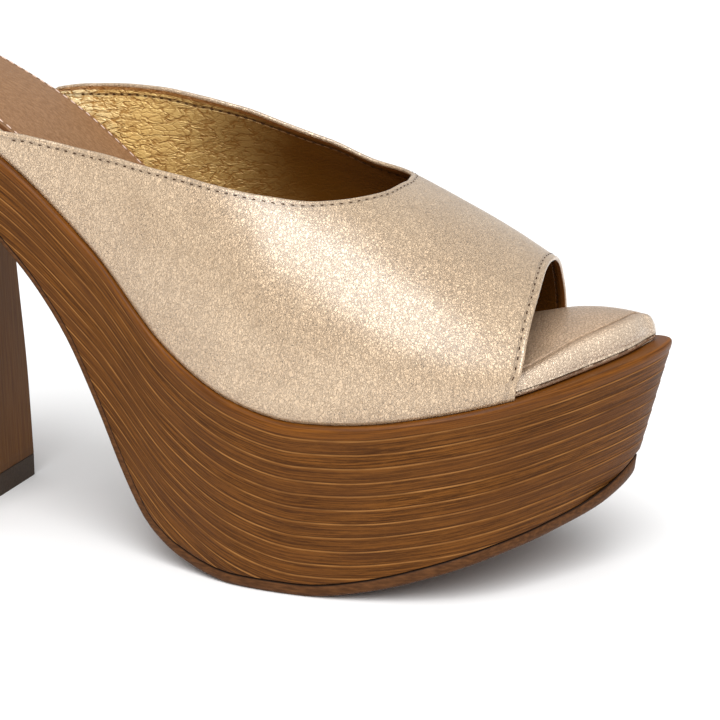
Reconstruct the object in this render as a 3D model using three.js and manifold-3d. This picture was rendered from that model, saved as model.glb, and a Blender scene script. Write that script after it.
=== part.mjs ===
// A platform mule for the right foot: a peep toe vamp on a stacked wood platform with a block heel.
// Millimetres, +Z up, toe towards +X, outer side of the foot towards -Y, sole standing on z = 0.
import * as THREE from 'three';
import { mergeVertices } from 'three/addons/utils/BufferGeometryUtils.js';
import Module from 'manifold-3d';

const wasm = await Module();
wasm.setup();

// Sizes of the last and the platform
const LENGTH = 228.2; // heel back to toe tip, measured along the floor
const BALL_WIDTH = 85; // platform top across the ball of the foot
const HEEL_HEIGHT = 124.3; // platform top above the floor at the heel back
const PLATFORM_HEIGHT = 42.7; // platform top above the floor under the ball
const TOE_RISE = 14; // toe tip of the platform top above its ball
const TOE_SPRING = 25; // underside of the toe tip above the floor
const SEAT_DEPTH = 13; // platform thickness at the heel seat
const SIDE_RAKE = 0.045; // inward lean of the sides, per millimetre down
const TOE_RAKE = 0.27; // backward lean of the toe wall, per millimetre down
const RAKE_START = 0.8; // share of the length where the toe wall's lean begins

// Sizes of the platform's stacked layers and its rim
const LAYER = 3.4; // one stacked layer
const LAYER_NOTCH = 0.4; // how far each layer's foot draws in
const LAYER_GROOVE = 0.4; // height of the groove over each layer
const RIM_HEIGHT = 3.2; // plain band round the top
const RIM_GROOVE = 0.6; // height of the groove under the band
const RIM_ROUND = 0.8; // rounding of the band's top corner

// Sizes of the outsole, the heel and its top lift
const OUTSOLE = 3.3; // outsole thickness under the ball
const OUTSOLE_INSET = 0.6; // outsole edge inside the platform wall
const OUTSOLE_ROUND = 1; // rounding of the outsole's lower edge
const STEEPEST = 2.2; // most that a slope thickens the outsole, measured upright
const HEEL_LENGTH = 45.2; // heel seat to breast, at the top
const HEEL_BACK_DRAW = 3.4; // how far the heel back draws in at its waist
const HEEL_BREAST_FLARE = 2.6; // breast foot ahead of the breast top
const HEEL_OUTER_FLARE = 1.6; // outer side's flare at the floor
const HEEL_INNER_FLARE = 5; // inner side's flare at the floor
const HEEL_INSET = 0.7; // heel top inside the platform wall
const HEEL_CORNER = 1.6; // rounding of the two breast corners
const TOP_LIFT = 6; // thickness of the heel's top lift

// Sizes of the insole and the sock
const INSOLE = 5; // insole thickness at its heel edge
const TOE_EDGE = 3.6; // insole thickness at its toe edge
const INSOLE_ROLL = 2.4; // rounding of the insole's toe edge
const HEEL_ROLL_SHARE = 0.35; // share of that rounding at the heel
const TOE_FROM = 0.55; // share of the length where the insole's toe form starts to grow
const TOE_TO = 0.75; // share of the length where it is full
const INSOLE_FOOT_ROUND = 0.7; // rounding of the insole's lower edge
const INSOLE_CROWN = 2.2; // padding in the insole's middle at the heel
const TOE_CROWN = 8.8; // padding in the insole's middle at the toe
const CROWN_LEAN = 6; // the toe padding's crest towards the inner side
const HEEL_BULGE = { inner: 2, outer: 1 }; // powers that shape the padding across the heel
const ARCH_RISE = 3.5; // how much the padding lifts the inner side at the waist
const ARCH = { from: 0.24, peak: 0.46, to: 0.68 }; // where that lift starts, is highest and ends
const TOE_BULGE = { inner: 2, outer: 1.5 }; // powers that shape the padding across the toe
const CROWN_FADE = 27; // length over which the padding fades at the heel
const TOE_FADE = 28; // length over which the padding fades at the toe
const TOE_MARGIN = 3.6; // how far the insole draws back from the rim on the toe's outer side
const MARGIN_FROM = 0.87; // share of the length where it starts to draw back
const MARGIN_TO = 0.96; // share of the length where it is drawn back in full
const MARGIN_END = 22; // how far towards the inner side it is drawn back
const MARGIN_FADE = 16; // width over which the drawing back fades
const SOCK = 1; // sock thickness
const SOCK_INSET = 1.1; // sock edge inside the insole edge
const SOCK_LENGTH = 152; // sock from the heel back to its end under the vamp
const SOCK_BACK = 0.12; // share of the sock's inset where its rounded back begins

// Sizes of the upper
const UPPER_WALL = 1.8; // outer leather and lining together
const UPPER_INSET = 0.5; // upper's foot inside the platform edge
const UPPER_WRAP = 4; // upright band where the upper wraps the insole
const INSTEP = 49.7; // vamp above the platform top at the throat
const CREST = 3; // crest of the instep towards the inner side

const GAP = 0.3; // clearance between neighbouring pieces
const NARROWEST = 1; // least half width at the very back
const MIDDLE = 1 - Math.SQRT1_2; // middle corner of a rounding, as a share of its size
const BAND_REACH = 12; // how far a cutting band reaches past the shoe
const SLOPED_GAP = 0.45; // the same clearance measured upright on the steep shank
const insoleInset = UPPER_INSET + UPPER_WALL + GAP; // insole edge inside the platform edge

// Half widths of the platform top as shares of the ball width, outer side near, inner side far
const OUTLINE_ROWS = [
  { at: 0, near: 0, far: 0 },
  { at: 0.02, near: 0.178, far: 0.18 },
  { at: 0.06, near: 0.282, far: 0.284 },
  { at: 0.12, near: 0.33, far: 0.326 },
  { at: 0.2, near: 0.323, far: 0.31 },
  { at: 0.3, near: 0.307, far: 0.274 },
  { at: 0.4, near: 0.318, far: 0.269 },
  { at: 0.5, near: 0.404, far: 0.329 },
  { at: 0.58, near: 0.48, far: 0.4 },
  { at: 0.66, near: 0.505, far: 0.468 },
  { at: 0.73, near: 0.494, far: 0.497 },
  { at: 0.8, near: 0.455, far: 0.484 },
  { at: 0.86, near: 0.386, far: 0.437 },
  { at: 0.91, near: 0.285, far: 0.372 },
  { at: 0.95, near: 0.174, far: 0.308 },
  { at: 0.98, near: 0.059, far: 0.234 },
  { at: 1, near: -0.124, far: 0.124 },
];

// Platform top: drop as a share of heel height less platform height, rise as a share of the toe rise
const TOP_ROWS = [
  { at: 0, drop: 1, rise: 0 },
  { at: 0.1, drop: 0.928, rise: 0 },
  { at: 0.2, drop: 0.83, rise: 0 },
  { at: 0.3, drop: 0.684, rise: 0 },
  { at: 0.4, drop: 0.436, rise: 0 },
  { at: 0.5, drop: 0.162, rise: 0 },
  { at: 0.6, drop: 0.028, rise: 0 },
  { at: 0.66, drop: 0, rise: 0 },
  { at: 0.72, drop: 0, rise: 0.03 },
  { at: 0.8, drop: 0, rise: 0.225 },
  { at: 0.9, drop: 0, rise: 0.565 },
  { at: 1, drop: 0, rise: 1 },
];

// Underside: seat as a share of the seat's height, spring as a share of the toe spring,
// sole as a share of the outsole's thickness
const UNDER_ROWS = [
  { at: 0, seat: 1, spring: 0, sole: 0.5 },
  { at: 0.1, seat: 0.952, spring: 0, sole: 0.5 },
  { at: 0.18, seat: 0.886, spring: 0, sole: 0.5 },
  { at: 0.24, seat: 0.8, spring: 0, sole: 0.5 },
  { at: 0.296, seat: 0.69, spring: 0, sole: 0.5 },
  { at: 0.34, seat: 0.581, spring: 0, sole: 0.52 },
  { at: 0.372, seat: 0.476, spring: 0, sole: 0.56 },
  { at: 0.405, seat: 0.329, spring: 0, sole: 0.64 },
  { at: 0.432, seat: 0.2025, spring: 0, sole: 0.74 },
  { at: 0.461, seat: 0.101, spring: 0, sole: 0.86 },
  { at: 0.49, seat: 0.05, spring: 0, sole: 0.95 },
  { at: 0.523, seat: 0.02, spring: 0, sole: 1 },
  { at: 0.554, seat: 0.0054, spring: 0, sole: 1 },
  { at: 0.58, seat: 0, spring: 0, sole: 1 },
  { at: 0.655, seat: 0, spring: 0, sole: 1 },
  { at: 0.69, seat: 0, spring: 0.027, sole: 1 },
  { at: 0.72, seat: 0, spring: 0.077, sole: 1 },
  { at: 0.75, seat: 0, spring: 0.14, sole: 1 },
  { at: 0.8, seat: 0, spring: 0.275, sole: 1 },
  { at: 0.85, seat: 0, spring: 0.417, sole: 1 },
  { at: 0.9, seat: 0, spring: 0.555, sole: 1 },
  { at: 0.94, seat: 0, spring: 0.715, sole: 1 },
  { at: 0.96, seat: 0, spring: 0.85, sole: 1 },
  { at: 0.975, seat: 0, spring: 1, sole: 1 },
];

// Sections of the last: crest height as a share of the instep, and the powers that square its
// shoulder, across and upright
const LAST_ROWS = [
  { at: 0.2, crest: 0.66, across: 2.6, upright: 2.6 },
  { at: 0.35, crest: 0.84, across: 2.6, upright: 2.6 },
  { at: 0.44, crest: 1.08, across: 2.6, upright: 2.6 },
  { at: 0.52, crest: 1.23, across: 2.55, upright: 2.55 },
  { at: 0.6, crest: 1.22, across: 2.5, upright: 2.5 },
  { at: 0.66, crest: 1.13, across: 2.5, upright: 2.4 },
  { at: 0.72, crest: 1, across: 2.4, upright: 2.3 },
  { at: 0.77, crest: 0.865, across: 2.25, upright: 2 },
  { at: 0.83, crest: 0.68, across: 2.1, upright: 1.65 },
  { at: 0.865, crest: 0.557, across: 2, upright: 1.5 },
  { at: 0.885, crest: 0.485, across: 2, upright: 1.45 },
  { at: 0.91, crest: 0.4, across: 2, upright: 1.45 },
];

// Lines of the vamp from the peep edge back to the topline: peep and reach are shares of the
// length, turn and top are degrees round the last from its foot to its crest
const OUTER_LINES = [
  { turn: 0, peep: 0.875, reach: 0.285, top: 0 },
  { turn: 5, peep: 0.8765, reach: 0.308, top: 2.6 },
  { turn: 10, peep: 0.8775, reach: 0.337, top: 7.8 },
  { turn: 15, peep: 0.878, reach: 0.3703, top: 14.2 },
  { turn: 20, peep: 0.8785, reach: 0.405, top: 20.1 },
  { turn: 30, peep: 0.8785, reach: 0.478, top: 33.4 },
  { turn: 40, peep: 0.8785, reach: 0.548, top: 42.5 },
  { turn: 50, peep: 0.8785, reach: 0.611, top: 49.2 },
  { turn: 60, peep: 0.878, reach: 0.655, top: 56.7 },
  { turn: 70, peep: 0.8765, reach: 0.687, top: 65.2 },
  { turn: 80, peep: 0.8745, reach: 0.709, top: 76.5 },
  { turn: 90, peep: 0.873, reach: 0.7156, top: 90 },
];
const INNER_LINES = [
  { turn: 0, peep: 0.86, reach: 0.262, top: 0 },
  { turn: 5, peep: 0.8605, reach: 0.286, top: 5.2 },
  { turn: 10, peep: 0.861, reach: 0.313, top: 12.1 },
  { turn: 20, peep: 0.862, reach: 0.371, top: 28.8 },
  { turn: 30, peep: 0.863, reach: 0.43, top: 41.3 },
  { turn: 35, peep: 0.8635, reach: 0.465, top: 48.6 },
  { turn: 40, peep: 0.864, reach: 0.5, top: 53.7 },
  { turn: 50, peep: 0.866, reach: 0.568, top: 59.6 },
  { turn: 60, peep: 0.868, reach: 0.629, top: 61.6 },
  { turn: 70, peep: 0.87, reach: 0.674, top: 66.6 },
  { turn: 80, peep: 0.872, reach: 0.705, top: 77 },
  { turn: 90, peep: 0.873, reach: 0.7156, top: 90 },
];
const OUTER_FOOT = { peep: 0.8725, reach: 0.254 };
const INNER_FOOT = { peep: 0.858, reach: 0.23 };

// Heel sections from its top to its foot: every column is a share of the size it follows
const HEEL_ROWS = [
  { down: 0, draw: 0.1, breast: 0, flare: 0 },
  { down: 0.2, draw: 0.6, breast: 0.2, flare: 0.15 },
  { down: 0.45, draw: 1, breast: 0.45, flare: 0.48 },
  { down: 0.7, draw: 0.9, breast: 0.72, flare: 0.85 },
  { down: 1, draw: 0.5, breast: 1, flare: 1 },
];

// How finely each form is divided
const PLATFORM_STATIONS = 42;
const OUTSOLE_STATIONS = 34;
const INSOLE_STATIONS = 32;
const SOCK_STATIONS = 24;
const SOCK_ACROSS = 6;
const SOCK_BACK_STATIONS = 2;
const SPINE = { from: 0.11, to: 0.86 }; // shares of the length the insole's rings close in on
const INSOLE_RINGS = [0.7, 0.35]; // inner rings of the insole's top, as shares of its edge
const HEEL_STATIONS = 14;
const VAMP_STEPS_PER_LINE = 2;
const VAMP_STEPS_BACK = 18;
const PROFILE_STEPS = 60;
const HALF_TURN = 180;

// Smooth curve through one column of a table, level wherever the table is level
function curve(rows, name, warp = (at) => at) {
  const xs = rows.map((row) => warp(row.at ?? row.turn ?? row.down));
  const ys = rows.map((row) => row[name]);
  const slopes = ys.slice(1).map((y, i) => (y - ys[i]) / (xs[i + 1] - xs[i]));
  const tangents = ys.map((_, i) => {
    const before = slopes[Math.max(i - 1, 0)];
    const after = slopes[Math.min(i, slopes.length - 1)];
    const left = xs[Math.max(i, 1)] - xs[Math.max(i - 1, 0)];
    const right = xs[Math.min(i + 1, xs.length - 1)] - xs[Math.min(i, xs.length - 2)];
    const mean = (before * right + after * left) / (left + right);
    const steepest = 3 * Math.min(Math.abs(before), Math.abs(after));
    return Math.min(Math.max(mean, -steepest), steepest);
  });
  return (at) => {
    const x = Math.min(Math.max(warp(at), xs[0]), xs[xs.length - 1]);
    const i = Math.min(xs.findIndex((_, k) => k === xs.length - 2 || x <= xs[k + 1]), xs.length - 2);
    const width = xs[i + 1] - xs[i];
    const t = (x - xs[i]) / width;
    const rise = ys[i] * (1 + 2 * t) * (1 - t) ** 2 + ys[i + 1] * t * t * (3 - 2 * t);
    return rise + width * (tangents[i] * t * (1 - t) ** 2 - tangents[i + 1] * t * t * (1 - t));
  };
}

// Share of the length as an angle, so that both ends of the outline come out round
const roundEnds = (at) => Math.acos(1 - 2 * Math.min(Math.max(at, 0), 1));
const nearShare = curve(OUTLINE_ROWS, 'near', roundEnds);
const farShare = curve(OUTLINE_ROWS, 'far', roundEnds);
const dropShare = curve(TOP_ROWS, 'drop');
const riseShare = curve(TOP_ROWS, 'rise');
const seatShare = curve(UNDER_ROWS, 'seat');
const springShare = curve(UNDER_ROWS, 'spring');
const soleShare = curve(UNDER_ROWS, 'sole');
const crestShare = curve(LAST_ROWS, 'crest');
const acrossPower = curve(LAST_ROWS, 'across');
const uprightPower = curve(LAST_ROWS, 'upright');

const nearWidth = (x) => BALL_WIDTH * nearShare(x / LENGTH);
const farWidth = (x) => BALL_WIDTH * farShare(x / LENGTH);
const seatHeight = HEEL_HEIGHT - SEAT_DEPTH;

// Height of the platform's top edge
function topHeight(x) {
  const at = x / LENGTH;
  return PLATFORM_HEIGHT + (HEEL_HEIGHT - PLATFORM_HEIGHT) * dropShare(at) + TOE_RISE * riseShare(at);
}

// Height of the outsole's underside
function underHeight(x) {
  const at = x / LENGTH;
  return seatHeight * seatShare(at) + TOE_SPRING * springShare(at);
}

// Upright height of the joint between platform and outsole, from the outsole's square thickness
function jointHeight(x) {
  const slope = (underHeight(x + 1) - underHeight(x - 1)) / 2;
  return underHeight(x) + OUTSOLE * soleShare(x / LENGTH) * Math.min(Math.hypot(1, slope), STEEPEST);
}

const smooth = (t) => {
  const held = Math.min(Math.max(t, 0), 1);
  return held * held * (3 - 2 * held);
};

// Lean of the wall per millimetre down, growing towards the toe
function rakeAt(x) {
  const along = (x / LENGTH - RAKE_START) / (1 - RAKE_START);
  return SIDE_RAKE + (TOE_RAKE - SIDE_RAKE) * smooth(along);
}

// Plan points round the platform top, outer side first, with their outward directions
function outline(stations) {
  const near = [];
  const far = [];
  for (let i = 0; i <= stations; i += 1) {
    const x = (LENGTH * (1 - Math.cos((Math.PI * i) / stations))) / 2;
    near.push(new THREE.Vector2(x, -nearWidth(x)));
    far.push(new THREE.Vector2(x, farWidth(x)));
  }
  const points = [...near, ...far.slice(1, -1).reverse()];
  const count = points.length;
  return points.map((point, i) => {
    const along = points[(i + 1) % count].clone().sub(points[(i + count - 1) % count]).normalize();
    return { point, outward: new THREE.Vector2(along.y, -along.x) };
  });
}

// A ring round the wall: inset from the platform's edge, at the height that heightOf gives
function wallRing(places, inset, heightOf) {
  return places.map(({ point, outward }) => {
    const depth = Math.max(topHeight(point.x) - heightOf(point.x), 0);
    const ownInset = typeof inset === 'number' ? inset : inset(point.x, point.y);
    const inward = rakeAt(point.x) * depth + ownInset;
    const x = point.x - outward.x * inward;
    const y = point.y - outward.y * inward;
    return new THREE.Vector3(x, y, heightOf(x));
  });
}

// Closed solid from stacked rings, lowest first; both caps join the outer and the inner side
function stackRings(rings, stations, seam) {
  const count = rings[0].length;
  const faces = [];
  rings.slice(1).forEach((_, level) => {
    for (let i = 0; i < count; i += 1) {
      const j = (i + 1) % count;
      const low = level * count;
      const high = low + count;
      faces.push([low + i, low + j, high + j], [low + i, high + j, high + i]);
    }
  });
  const top = (rings.length - 1) * count;
  for (let i = 0; i < stations; i += 1) {
    const across = (seam - i) % count;
    const nextAcross = (seam - i - 1) % count;
    if (nextAcross !== i + 1) {
      faces.push([top + i, top + i + 1, top + nextAcross], [i, nextAcross, i + 1]);
    }
    if (across !== i) {
      faces.push([top + i, top + nextAcross, top + across], [i, across, nextAcross]);
    }
  }
  return closedGeometry(rings.flat(), faces);
}

// Closed solid between an outer and an inner grid of equal size
function wallBetween(outer, inner) {
  const rows = outer.length;
  const columns = outer[0].length;
  const shift = rows * columns;
  const id = (row, column) => row * columns + column;
  const faces = [];
  const quad = (a, b, c, d) => faces.push([a, b, c], [a, c, d]);
  for (let r = 0; r < rows - 1; r += 1) {
    for (let c = 0; c < columns - 1; c += 1) {
      quad(id(r, c), id(r + 1, c), id(r + 1, c + 1), id(r, c + 1));
      quad(shift + id(r, c), shift + id(r, c + 1), shift + id(r + 1, c + 1), shift + id(r + 1, c));
    }
    const last = columns - 1;
    quad(id(r, 0), shift + id(r, 0), shift + id(r + 1, 0), id(r + 1, 0));
    quad(id(r, last), id(r + 1, last), shift + id(r + 1, last), shift + id(r, last));
  }
  for (let c = 0; c < columns - 1; c += 1) {
    const last = rows - 1;
    quad(id(0, c), id(0, c + 1), shift + id(0, c + 1), shift + id(0, c));
    quad(id(last, c), shift + id(last, c), shift + id(last, c + 1), id(last, c + 1));
  }
  return closedGeometry([...outer.flat(), ...inner.flat()], faces);
}

function closedGeometry(points, faces) {
  const geometry = new THREE.BufferGeometry();
  const positions = points.flatMap((point) => [point.x, point.y, point.z]);
  geometry.setAttribute('position', new THREE.Float32BufferAttribute(positions, 3));
  geometry.setIndex(faces.flat());
  return geometry;
}

function toSolid(geometry) {
  const bare = geometry.clone();
  bare.deleteAttribute('normal');
  bare.deleteAttribute('uv');
  const merged = mergeVertices(bare, 1e-4);
  return new wasm.Manifold(new wasm.Mesh({
    numProp: 3,
    vertProperties: new Float32Array(merged.attributes.position.array),
    triVerts: new Uint32Array(merged.index.array),
  }));
}

function toGeometry(solid) {
  const mesh = solid.getMesh();
  const geometry = new THREE.BufferGeometry();
  geometry.setAttribute('position', new THREE.BufferAttribute(new Float32Array(mesh.vertProperties), 3));
  geometry.setIndex(new THREE.BufferAttribute(new Uint32Array(mesh.triVerts), 1));
  return geometry;
}

function piece(name, geometry, colour, roughness, metalness) {
  const material = new THREE.MeshStandardMaterial({ color: colour, roughness, metalness });
  const mesh = new THREE.Mesh(geometry, material);
  mesh.name = name;
  mesh.geometry.computeVertexNormals();
  return mesh;
}

// Platform: stepped layers parallel to the top, cut off by the side profile of the underside
function makePlatform() {
  const places = outline(PLATFORM_STATIONS);
  const deepest = Math.max(...places.map(({ point }) => topHeight(point.x) - jointHeight(point.x)));
  const layers = Math.ceil((deepest - RIM_HEIGHT) / LAYER) + 1;
  const rings = [];
  const addRing = (depth, inset) => rings.push(wallRing(places, inset, (x) => topHeight(x) - depth));
  for (let layer = layers; layer > 0; layer -= 1) {
    const foot = RIM_HEIGHT + layer * LAYER;
    addRing(foot, LAYER_NOTCH);
    addRing(foot - LAYER + LAYER_GROOVE, 0);
  }
  addRing(RIM_HEIGHT, LAYER_NOTCH);
  addRing(RIM_HEIGHT - RIM_GROOVE, 0);
  addRing(RIM_ROUND, 0);
  addRing(RIM_ROUND * MIDDLE, RIM_ROUND * MIDDLE);
  addRing(0, RIM_ROUND);
  const stack = toSolid(stackRings(rings, PLATFORM_STATIONS, 2 * PLATFORM_STATIONS));
  const above = sideBand(-BAND_REACH, jointHeight, () => 2 * HEEL_HEIGHT);
  return toGeometry(stack.intersect(above));
}

// Everything between two curves of the side view, from rear to past the toe, across the whole width
function sideBand(rear, lowAt, highAt) {
  const front = LENGTH + BAND_REACH;
  const width = 2 * BALL_WIDTH;
  const steps = Array.from({ length: PROFILE_STEPS + 1 }, (_, i) => (LENGTH * i) / PROFILE_STEPS);
  const places = [rear, ...steps.filter((x) => x > rear + GAP), front];
  const low = places.map((x) => new THREE.Vector2(x, lowAt(x)));
  const high = places.map((x) => new THREE.Vector2(x, highAt(x)));
  const shape = new THREE.Shape([...low, ...high.reverse()]);
  const geometry = new THREE.ExtrudeGeometry(shape, { depth: width, bevelEnabled: false });
  geometry.rotateX(Math.PI / 2);
  geometry.translate(0, width / 2, 0);
  return toSolid(geometry);
}

// Outsole: a sheet under the joint line, from the heel breast round the toe
function makeOutsole() {
  const places = outline(OUTSOLE_STATIONS);
  const past = 2 * GAP;
  const rings = [
    wallRing(places, OUTSOLE_INSET + OUTSOLE_ROUND + past, (x) => underHeight(x) - past),
    wallRing(places, OUTSOLE_INSET, (x) => underHeight(x) + OUTSOLE_ROUND),
    wallRing(places, OUTSOLE_INSET, (x) => jointHeight(x) + GAP),
  ];
  const wall = toSolid(stackRings(rings, OUTSOLE_STATIONS, 2 * OUTSOLE_STATIONS));
  const breast = HEEL_INSET + HEEL_LENGTH + GAP;
  return toGeometry(wall.intersect(sideBand(breast, underHeight, (x) => jointHeight(x) - SLOPED_GAP)));
}

const heelDraw = curve(HEEL_ROWS, 'draw');
const heelBreast = curve(HEEL_ROWS, 'breast');
const heelFlare = curve(HEEL_ROWS, 'flare');

// A ring round the heel, share down from the seat to the floor, on the seat's own outline
function heelRing(down, heightOf) {
  const back = HEEL_INSET + HEEL_BACK_DRAW * heelDraw(down);
  const breast = HEEL_LENGTH + HEEL_BREAST_FLARE * heelBreast(down);
  const side = (widthAt, sign, flare) => {
    const points = [];
    for (let i = 1; i <= HEEL_STATIONS; i += 1) {
      const share = 1 - Math.cos((Math.PI * i) / HEEL_STATIONS / 2);
      const isCorner = i === HEEL_STATIONS;
      const x = back + (breast - back) * share - (isCorner ? HEEL_CORNER : 0);
      const seatWidth = widthAt(HEEL_LENGTH * share) - HEEL_INSET - SEAT_DEPTH * SIDE_RAKE;
      points.push([x, sign * Math.max(seatWidth + flare * heelFlare(down), NARROWEST)]);
    }
    const [cornerX, cornerY] = points[points.length - 1];
    points.push([cornerX + HEEL_CORNER * (1 - MIDDLE), cornerY - sign * HEEL_CORNER * MIDDLE]);
    points.push([cornerX + HEEL_CORNER, cornerY - sign * HEEL_CORNER]);
    return points;
  };
  const near = side(nearWidth, -1, HEEL_OUTER_FLARE);
  const far = side(farWidth, 1, HEEL_INNER_FLARE);
  return [[back, 0], ...near, ...far.reverse()].map(([x, y]) => new THREE.Vector3(x, y, heightOf(x)));
}

// Block heel under the seat
function makeHeelBlock() {
  const foot = TOP_LIFT + GAP;
  const rings = [...HEEL_ROWS].reverse().map(({ down }) =>
    heelRing(down, (x) => {
      const high = jointHeight(x) - SLOPED_GAP;
      return high + (foot - high) * down;
    }));
  return stackRings(rings, HEEL_STATIONS + 2, rings[0].length);
}

// Top lift: the wearing layer under the heel
function makeTopLift() {
  const rings = [heelRing(1, () => 0), heelRing(1, () => TOP_LIFT)];
  return stackRings(rings, HEEL_STATIONS + 2, rings[0].length);
}

// A size of the insole at x, between its value at the heel and its value at the toe
function towardsToe(x, heel, toe) {
  return heel + (toe - heel) * smooth((x / LENGTH - TOE_FROM) / (TOE_TO - TOE_FROM));
}

// Height of the insole's top over the platform top, crowned across the foot
function insoleHeight(x, y) {
  const fade = Math.sin((Math.PI / 2) * Math.min(Math.max((LENGTH - x) / TOE_FADE, 0), 1));
  const lean = towardsToe(x, 0, CROWN_LEAN) * fade;
  const crest = (farWidth(x) - nearWidth(x)) / 2 + lean;
  const half = Math.max(y < crest ? crest + nearWidth(x) : farWidth(x) - crest, NARROWEST);
  const across = Math.min(Math.abs(y - crest) / half, 1);
  const crown = towardsToe(x, INSOLE_CROWN, TOE_CROWN) * smooth(x / CROWN_FADE) * fade;
  const [inner, outer] = ['inner', 'outer'].map((key) => towardsToe(x, HEEL_BULGE[key], TOE_BULGE[key]));
  const at = x / LENGTH;
  const along = smooth((at - ARCH.from) / (ARCH.peak - ARCH.from)) * smooth((ARCH.to - at) / (ARCH.to - ARCH.peak));
  const arch = ARCH_RISE * along * smooth((y - crest) / half);
  return towardsToe(x, INSOLE, TOE_EDGE) + arch + crown * (1 - across ** inner) ** outer;
}

// Insole: a board with a rolled edge, wrapped, lying on the platform inside the upper
function makeInsole() {
  const places = outline(INSOLE_STATIONS);
  const base = (x) => topHeight(x) + GAP;
  const rollAt = (x) => INSOLE_ROLL * towardsToe(x, HEEL_ROLL_SHARE, 1);
  const thickAt = (x) => towardsToe(x, INSOLE, TOE_EDGE);
  const marginAt = (x, y) => {
    const drawn = smooth((x / LENGTH - MARGIN_FROM) / (MARGIN_TO - MARGIN_FROM));
    return TOE_MARGIN * drawn * smooth((MARGIN_END - y) / MARGIN_FADE);
  };
  const edge = (share, lift) => wallRing(
    places,
    (x, y) => insoleInset + marginAt(x, y) + rollAt(x) * share,
    (x) => base(x) + lift(x),
  );
  const flat = edge(1, thickAt);
  const spine = (x) => Math.min(Math.max(x, LENGTH * SPINE.from), LENGTH * SPINE.to);
  const inner = (share) => flat.map(({ x, y }) => {
    const spineX = spine(x);
    const spineY = (farWidth(spineX) - nearWidth(spineX)) / 2;
    const place = new THREE.Vector3(spineX + (x - spineX) * share, spineY + (y - spineY) * share, 0);
    place.z = base(place.x) + insoleHeight(place.x, place.y);
    return place;
  });
  flat.forEach((point) => {
    point.z = base(point.x) + insoleHeight(point.x, point.y);
  });
  const rings = [
    edge(MIDDLE, () => 0),
    edge(0, () => INSOLE_FOOT_ROUND),
    edge(0, (x) => thickAt(x) - rollAt(x)),
    edge(MIDDLE, (x) => thickAt(x) - rollAt(x) * MIDDLE),
    flat,
    ...INSOLE_RINGS.map(inner),
  ];
  return stackRings(rings, INSOLE_STATIONS, 2 * INSOLE_STATIONS);
}

// Sock: a thin cover on the insole from the heel to under the vamp
function makeSock() {
  const edge = insoleInset + SOCK_INSET;
  const grid = (lift) => {
    const rows = [];
    for (let i = 0; i <= SOCK_STATIONS; i += 1) {
      const angle = (Math.PI / 2) * (i / SOCK_STATIONS);
      const x = edge + (SOCK_LENGTH - edge) * (1 - Math.cos(angle));
      const widest = x - edge * (1 - Math.min(1, SOCK_BACK + i / SOCK_BACK_STATIONS));
      const near = -Math.max(nearWidth(widest) - edge, 2 * NARROWEST);
      const far = Math.max(farWidth(widest) - edge, 2 * NARROWEST);
      const row = [];
      for (let j = 0; j <= SOCK_ACROSS; j += 1) {
        const y = near + (far - near) * (j / SOCK_ACROSS);
        row.push(new THREE.Vector3(x, y, topHeight(x) + GAP + insoleHeight(x, y) + SLOPED_GAP + lift));
      }
      rows.push(row);
    }
    return rows;
  };
  return wallBetween(grid(SOCK), grid(0));
}

// A point of the last: degrees turn from the outer foot over the crest to the inner foot
function lastPoint(x, turn, inset) {
  const at = x / LENGTH;
  const angle = THREE.MathUtils.degToRad(turn);
  const foot = topHeight(x) + SLOPED_GAP + UPPER_WRAP;
  const crest = topHeight(x) + INSTEP * crestShare(at) - inset;
  const across = Math.abs(Math.cos(angle)) ** (2 / acrossPower(at));
  const upright = Math.max(Math.sin(angle), 0) ** (2 / uprightPower(at));
  const isOuter = turn < HALF_TURN / 2;
  const edge = isOuter ? -nearWidth(x) : farWidth(x);
  const side = edge - Math.sign(edge) * (UPPER_INSET + inset);
  return new THREE.Vector3(x, CREST + (side - CREST) * across, foot + (crest - foot) * upright);
}

// Lines of the vamp in order round the last, each with its place at the peep and at the topline
function vampLines() {
  const side = (rows, toTurn) => {
    const [peep, reach, top] = ['peep', 'reach', 'top'].map((name) => curve(rows, name));
    const turns = rows.slice(1).flatMap((row, i) =>
      Array.from({ length: VAMP_STEPS_PER_LINE }, (_, k) =>
        rows[i].turn + ((row.turn - rows[i].turn) * (k + 1)) / VAMP_STEPS_PER_LINE));
    return [rows[0].turn, ...turns].map((turn) => (
      { turn: toTurn(turn), top: toTurn(top(turn)), peep: peep(turn), reach: reach(turn) }
    ));
  };
  const outer = side(OUTER_LINES, (turn) => turn);
  const inner = side(INNER_LINES, (turn) => HALF_TURN - turn);
  return [...outer, ...inner.reverse().slice(1)];
}

// Upper: one hollow wall, open at the peep, at the topline and along its foot
function makeUpper() {
  const lines = vampLines();
  const grid = (inset) => {
    const column = (line, lower) => {
      const points = [];
      for (let k = 0; k <= VAMP_STEPS_BACK; k += 1) {
        const back = k / VAMP_STEPS_BACK;
        const x = LENGTH * (line.peep + (line.reach - line.peep) * back);
        const point = lastPoint(x, line.turn + (line.top - line.turn) * back, inset);
        if (lower) {
          point.z = topHeight(x) + SLOPED_GAP;
        }
        points.push(point);
      }
      return points;
    };
    const outerFoot = { ...OUTER_FOOT, turn: 0, top: 0 };
    const innerFoot = { ...INNER_FOOT, turn: HALF_TURN, top: HALF_TURN };
    return [column(outerFoot, true), ...lines.map((line) => column(line)), column(innerFoot, true)];
  };
  return wallBetween(grid(0), grid(UPPER_WALL));
}

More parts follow.
